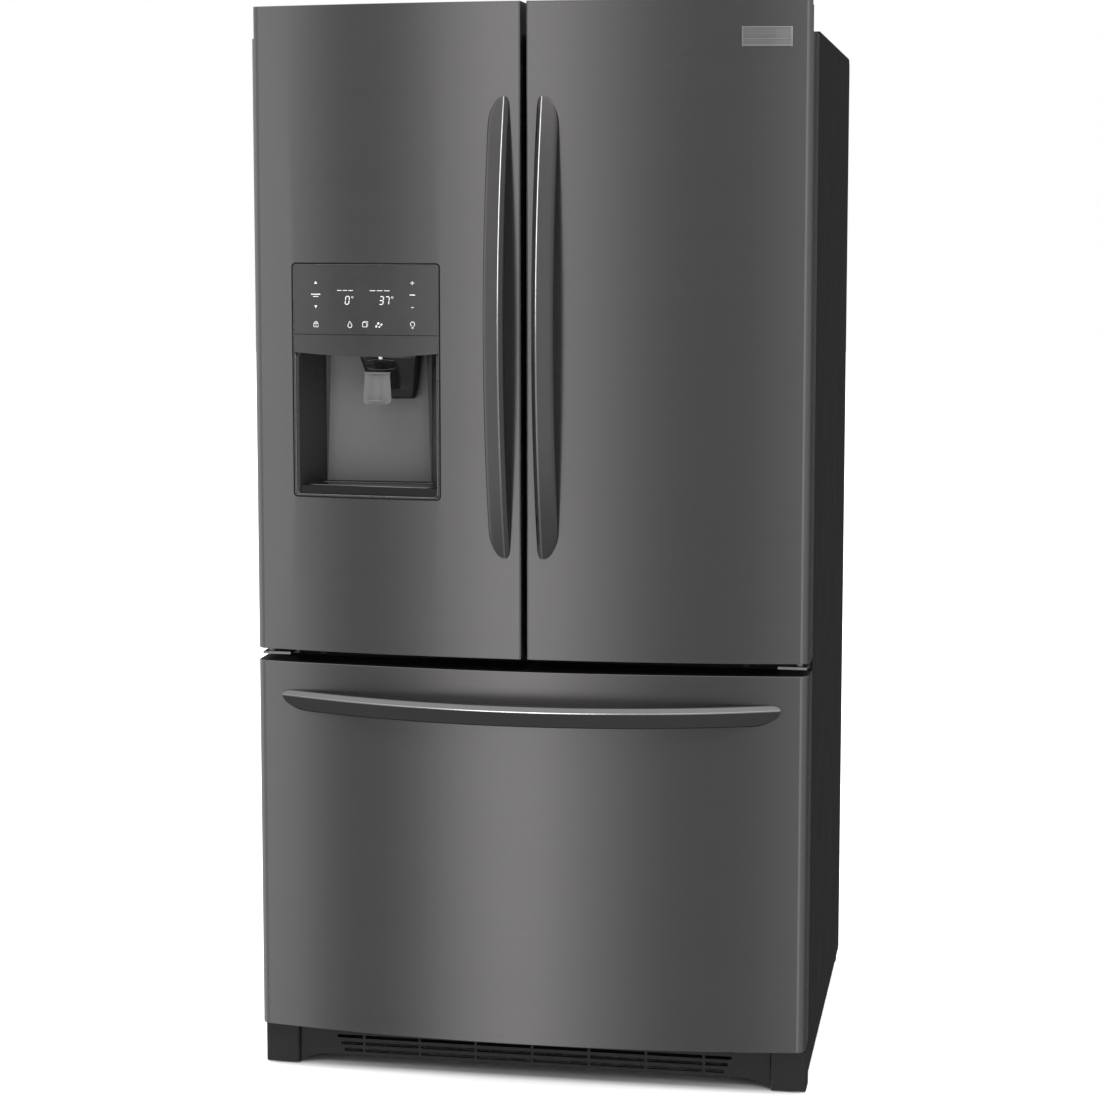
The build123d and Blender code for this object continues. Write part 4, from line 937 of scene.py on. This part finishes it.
# ------------------------------------------------------------------ badge plate
def badge():
    """Plain bright plate with a raised border and a fine bar, no lettering."""
    low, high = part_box("badge_plate")
    x0, x1, z0, z1 = low.x, high.x, low.z, high.z
    thick, columns = 0.0012, 24
    sunk = thick * 0.72
    levels = ((0.0, 0.0), (0.0003, thick * 0.8), (0.0009, thick), (0.0022, thick), (0.0026, sunk))
    steps = [k / (columns - 1) for k in range(columns)]

    def skin_y(x):
        """The y of the door's skin just below the badge."""
        return face_y("door_right_skin", x, z0 - 0.02)

    verts, faces = [], []
    count = 2 * columns
    for inset, lift in levels:
        xs = [x0 + inset + (x1 - x0 - 2 * inset) * step for step in steps]
        verts += [(x, skin_y(x) - lift, z0 + inset) for x in xs]
        verts += [(x, skin_y(x) - lift, z1 - inset) for x in reversed(xs)]
    for level in range(len(levels) - 1):
        a, b = level * count, (level + 1) * count
        faces += [(a + k, a + (k + 1) % count, b + (k + 1) % count, b + k) for k in range(count)]
    last = len(verts) - count
    faces += [(last + k, last + k + 1, last + count - 2 - k, last + count - 1 - k)
              for k in range(columns - 1)]
    bar_z, margin = z0 + 0.37 * (z1 - z0), 0.003
    bar = []
    for step in steps:
        x = x0 + margin + (x1 - x0 - 2 * margin) * step
        y = skin_y(x) - sunk
        bar.append([(x, y, bar_z - 0.0006), (x, y - 0.0004, bar_z - 0.0002),
                    (x, y - 0.0004, bar_z + 0.0002), (x, y, bar_z + 0.0006)])
    mesh = joined("badge", [mesh_of("badge", verts, faces), loft_mesh("badge_bar", bar)])
    piece = new_piece("badge", mesh, "door_right", MATERIALS["badge_steel"],
                      ["badge_plate"])
    soften(piece, 30)


badge()


# ------------------------------------------------------------------ floor, light and camera
def node_math(tree, operation, first, second):
    """Result of a math node whose inputs are sockets or numbers."""
    node = tree.nodes.new("ShaderNodeMath")
    node.operation = operation
    for socket, value in zip(node.inputs, (first, second)):
        if isinstance(value, (int, float)):
            socket.default_value = value
        else:
            tree.links.new(value, socket)
    return node.outputs["Value"]


def stage_material(name, colour, glow):
    """Plain glowing material for the floor or the backdrop."""
    material, _, p = shader(name)
    p.inputs["Base Color"].default_value = (*colour, 1)
    p.inputs["Roughness"].default_value = 0.9
    p.inputs["Specular IOR Level"].default_value = 0.0
    p.inputs["Emission Color"].default_value = (1, 1, 1, 1)
    p.inputs["Emission Strength"].default_value = glow
    return material


def paint_floor_shade(material, near, far):
    """Painted shade on the floor: its glow rises from near to far, and none is left under the cabinet
    itself, a painted shadow.
    """
    tree = material.node_tree
    place = tree.nodes.new("ShaderNodeTexCoord")
    length = tree.nodes.new("ShaderNodeVectorMath")
    length.operation = "LENGTH"
    tree.links.new(place.outputs["Object"], length.inputs[0])
    outer = spread(tree, length.outputs["Value"], near, far, 0.9, 4.0)
    size = tree.nodes.new("ShaderNodeVectorMath")
    size.operation = "ABSOLUTE"
    split = tree.nodes.new("ShaderNodeSeparateXYZ")
    tree.links.new(place.outputs["Object"], size.inputs[0])
    tree.links.new(size.outputs["Vector"], split.inputs["Vector"])
    # no glow over the cabinet's footprint: a painted shadow under it
    half = (CAD_BOX[1] - CAD_BOX[0]) / 2
    beyond_x = spread(tree, split.outputs["X"], 0.0, 1.0, half.x - 0.03, half.x)
    beyond_y = spread(tree, split.outputs["Y"], 0.0, 1.0, half.y - 0.13, half.y - 0.10)
    outside_painted_shadow = node_math(tree, "MAXIMUM", beyond_x, beyond_y)
    tree.links.new(node_math(tree, "MULTIPLY", outer, outside_painted_shadow),
                   tree.nodes["Principled BSDF"].inputs["Emission Strength"])


def stage():
    """Pale floor and a backdrop that only the camera sees."""
    bpy.ops.mesh.primitive_circle_add(vertices=96, radius=STAGE_RADIUS, fill_type="NGON",
                                      location=(0, 0, 0))
    floor = bpy.context.object
    floor.name = "floor"
    floor.data.materials.append(stage_material("floor", (0.80, 0.80, 0.80), FLOOR_GLOW_FAR))
    paint_floor_shade(floor.data.materials[0], FLOOR_GLOW_NEAR, FLOOR_GLOW_FAR)
    floor.visible_glossy = False
    bpy.ops.mesh.primitive_uv_sphere_add(segments=48, ring_count=24, radius=STAGE_RADIUS - 0.5,
                                         location=(0, 0, 0))
    dome = bpy.context.object
    dome.name = "backdrop"
    dome.data.materials.append(stage_material("backdrop", (0.0, 0.0, 0.0), 1.0))
    for kind in ("diffuse", "glossy", "transmission", "volume_scatter", "shadow"):
        setattr(dome, f"visible_{kind}", False)


def world():
    """Soft studio surroundings: tall bright and dim panels around the object."""
    scene_world = bpy.data.worlds.new("studio")
    bpy.context.scene.world = scene_world
    scene_world.use_nodes = True
    tree = scene_world.node_tree
    place = tree.nodes.new("ShaderNodeTexCoord")
    split = tree.nodes.new("ShaderNodeSeparateXYZ")
    tree.links.new(place.outputs["Generated"], split.inputs["Vector"])
    flipped = [node_math(tree, "MULTIPLY", split.outputs[axis], -1) for axis in ("X", "Y")]
    angle = node_math(tree, "ARCTAN2", *flipped)
    ramp = tree.nodes.new("ShaderNodeValToRGB")
    ramp.color_ramp.interpolation = "EASE"
    stops = ramp.color_ramp.elements
    while len(stops) < len(PANELS):
        stops.new(0.5)
    for stop, (degrees, value) in zip(stops, PANELS):
        stop.position = (degrees + 180) / 360
        stop.color = (value, value, value, 1)
    tree.links.new(spread(tree, angle, 0.0, 1.0, -pi, pi), ramp.inputs["Fac"])
    colour = ramp.outputs["Color"]
    for start, end, level in (CEILING, GROUND):
        share = tree.nodes.new("ShaderNodeMapRange")
        share.interpolation_type = "SMOOTHSTEP"
        share.inputs["From Min"].default_value = start
        share.inputs["From Max"].default_value = end
        tree.links.new(split.outputs["Z"], share.inputs["Value"])
        blend = tree.nodes.new("ShaderNodeMix")
        blend.data_type = "RGBA"
        blend.inputs["B"].default_value = (level, level, level, 1)
        tree.links.new(share.outputs["Result"], blend.inputs["Factor"])
        tree.links.new(colour, blend.inputs["A"])
        colour = blend.outputs["Result"]
    tree.links.new(colour, tree.nodes["Background"].inputs["Color"])
    tree.nodes["Background"].inputs["Strength"].default_value = 1.0


def area_light(name, place, target, width, height, power, glossy=True):
    """Rectangular soft light aimed at a point."""
    data = bpy.data.lights.new(name, "AREA")
    data.shape = "RECTANGLE"
    data.size = width
    data.size_y = height
    data.energy = power
    light = bpy.data.objects.new(name, data)
    bpy.context.scene.collection.objects.link(light)
    light.location = place
    aim = Vector(target) - Vector(place)
    light.rotation_euler = aim.to_track_quat("-Z", "Y").to_euler()
    light.visible_camera = False
    light.visible_glossy = glossy
    return light


def crease_light():
    """Soft lamp that only the handles' creases and the tray's lip catch."""
    caught = bpy.data.collections.new("crease_light_catchers")
    bpy.context.scene.collection.children.link(caught)
    for name in ("crease_left", "crease_right", "crease_drawer", "tray_lip"):
        caught.objects.link(bpy.data.objects[name])
    lamp = area_light("strip_front", (-0.75, -4.5, 2.75), (0, -0.4, 1.2), 2.4, 3.0, 200)
    lamp.light_linking.receiver_collection = caught


def camera():
    """Camera at the photograph's viewing angle."""
    data = bpy.data.cameras.new("camera")
    data.sensor_width = SENSOR_MM
    data.lens = LENS_MM
    data.shift_y = SHIFT_DOWN
    data.clip_end = 100
    eye = bpy.data.objects.new("camera", data)
    bpy.context.scene.collection.objects.link(eye)
    eye.location = EYE
    eye.rotation_euler = (pi / 2 - PITCH_DOWN, 0, TURN_LEFT)
    bpy.context.scene.camera = eye


stage()
world()
for name, place, target, width, height, power in SOFT_LIGHTS:
    area_light(name, place, target, width, height, power, glossy=False)
crease_light()
camera()
bpy.context.scene.view_settings.view_transform = "Standard"
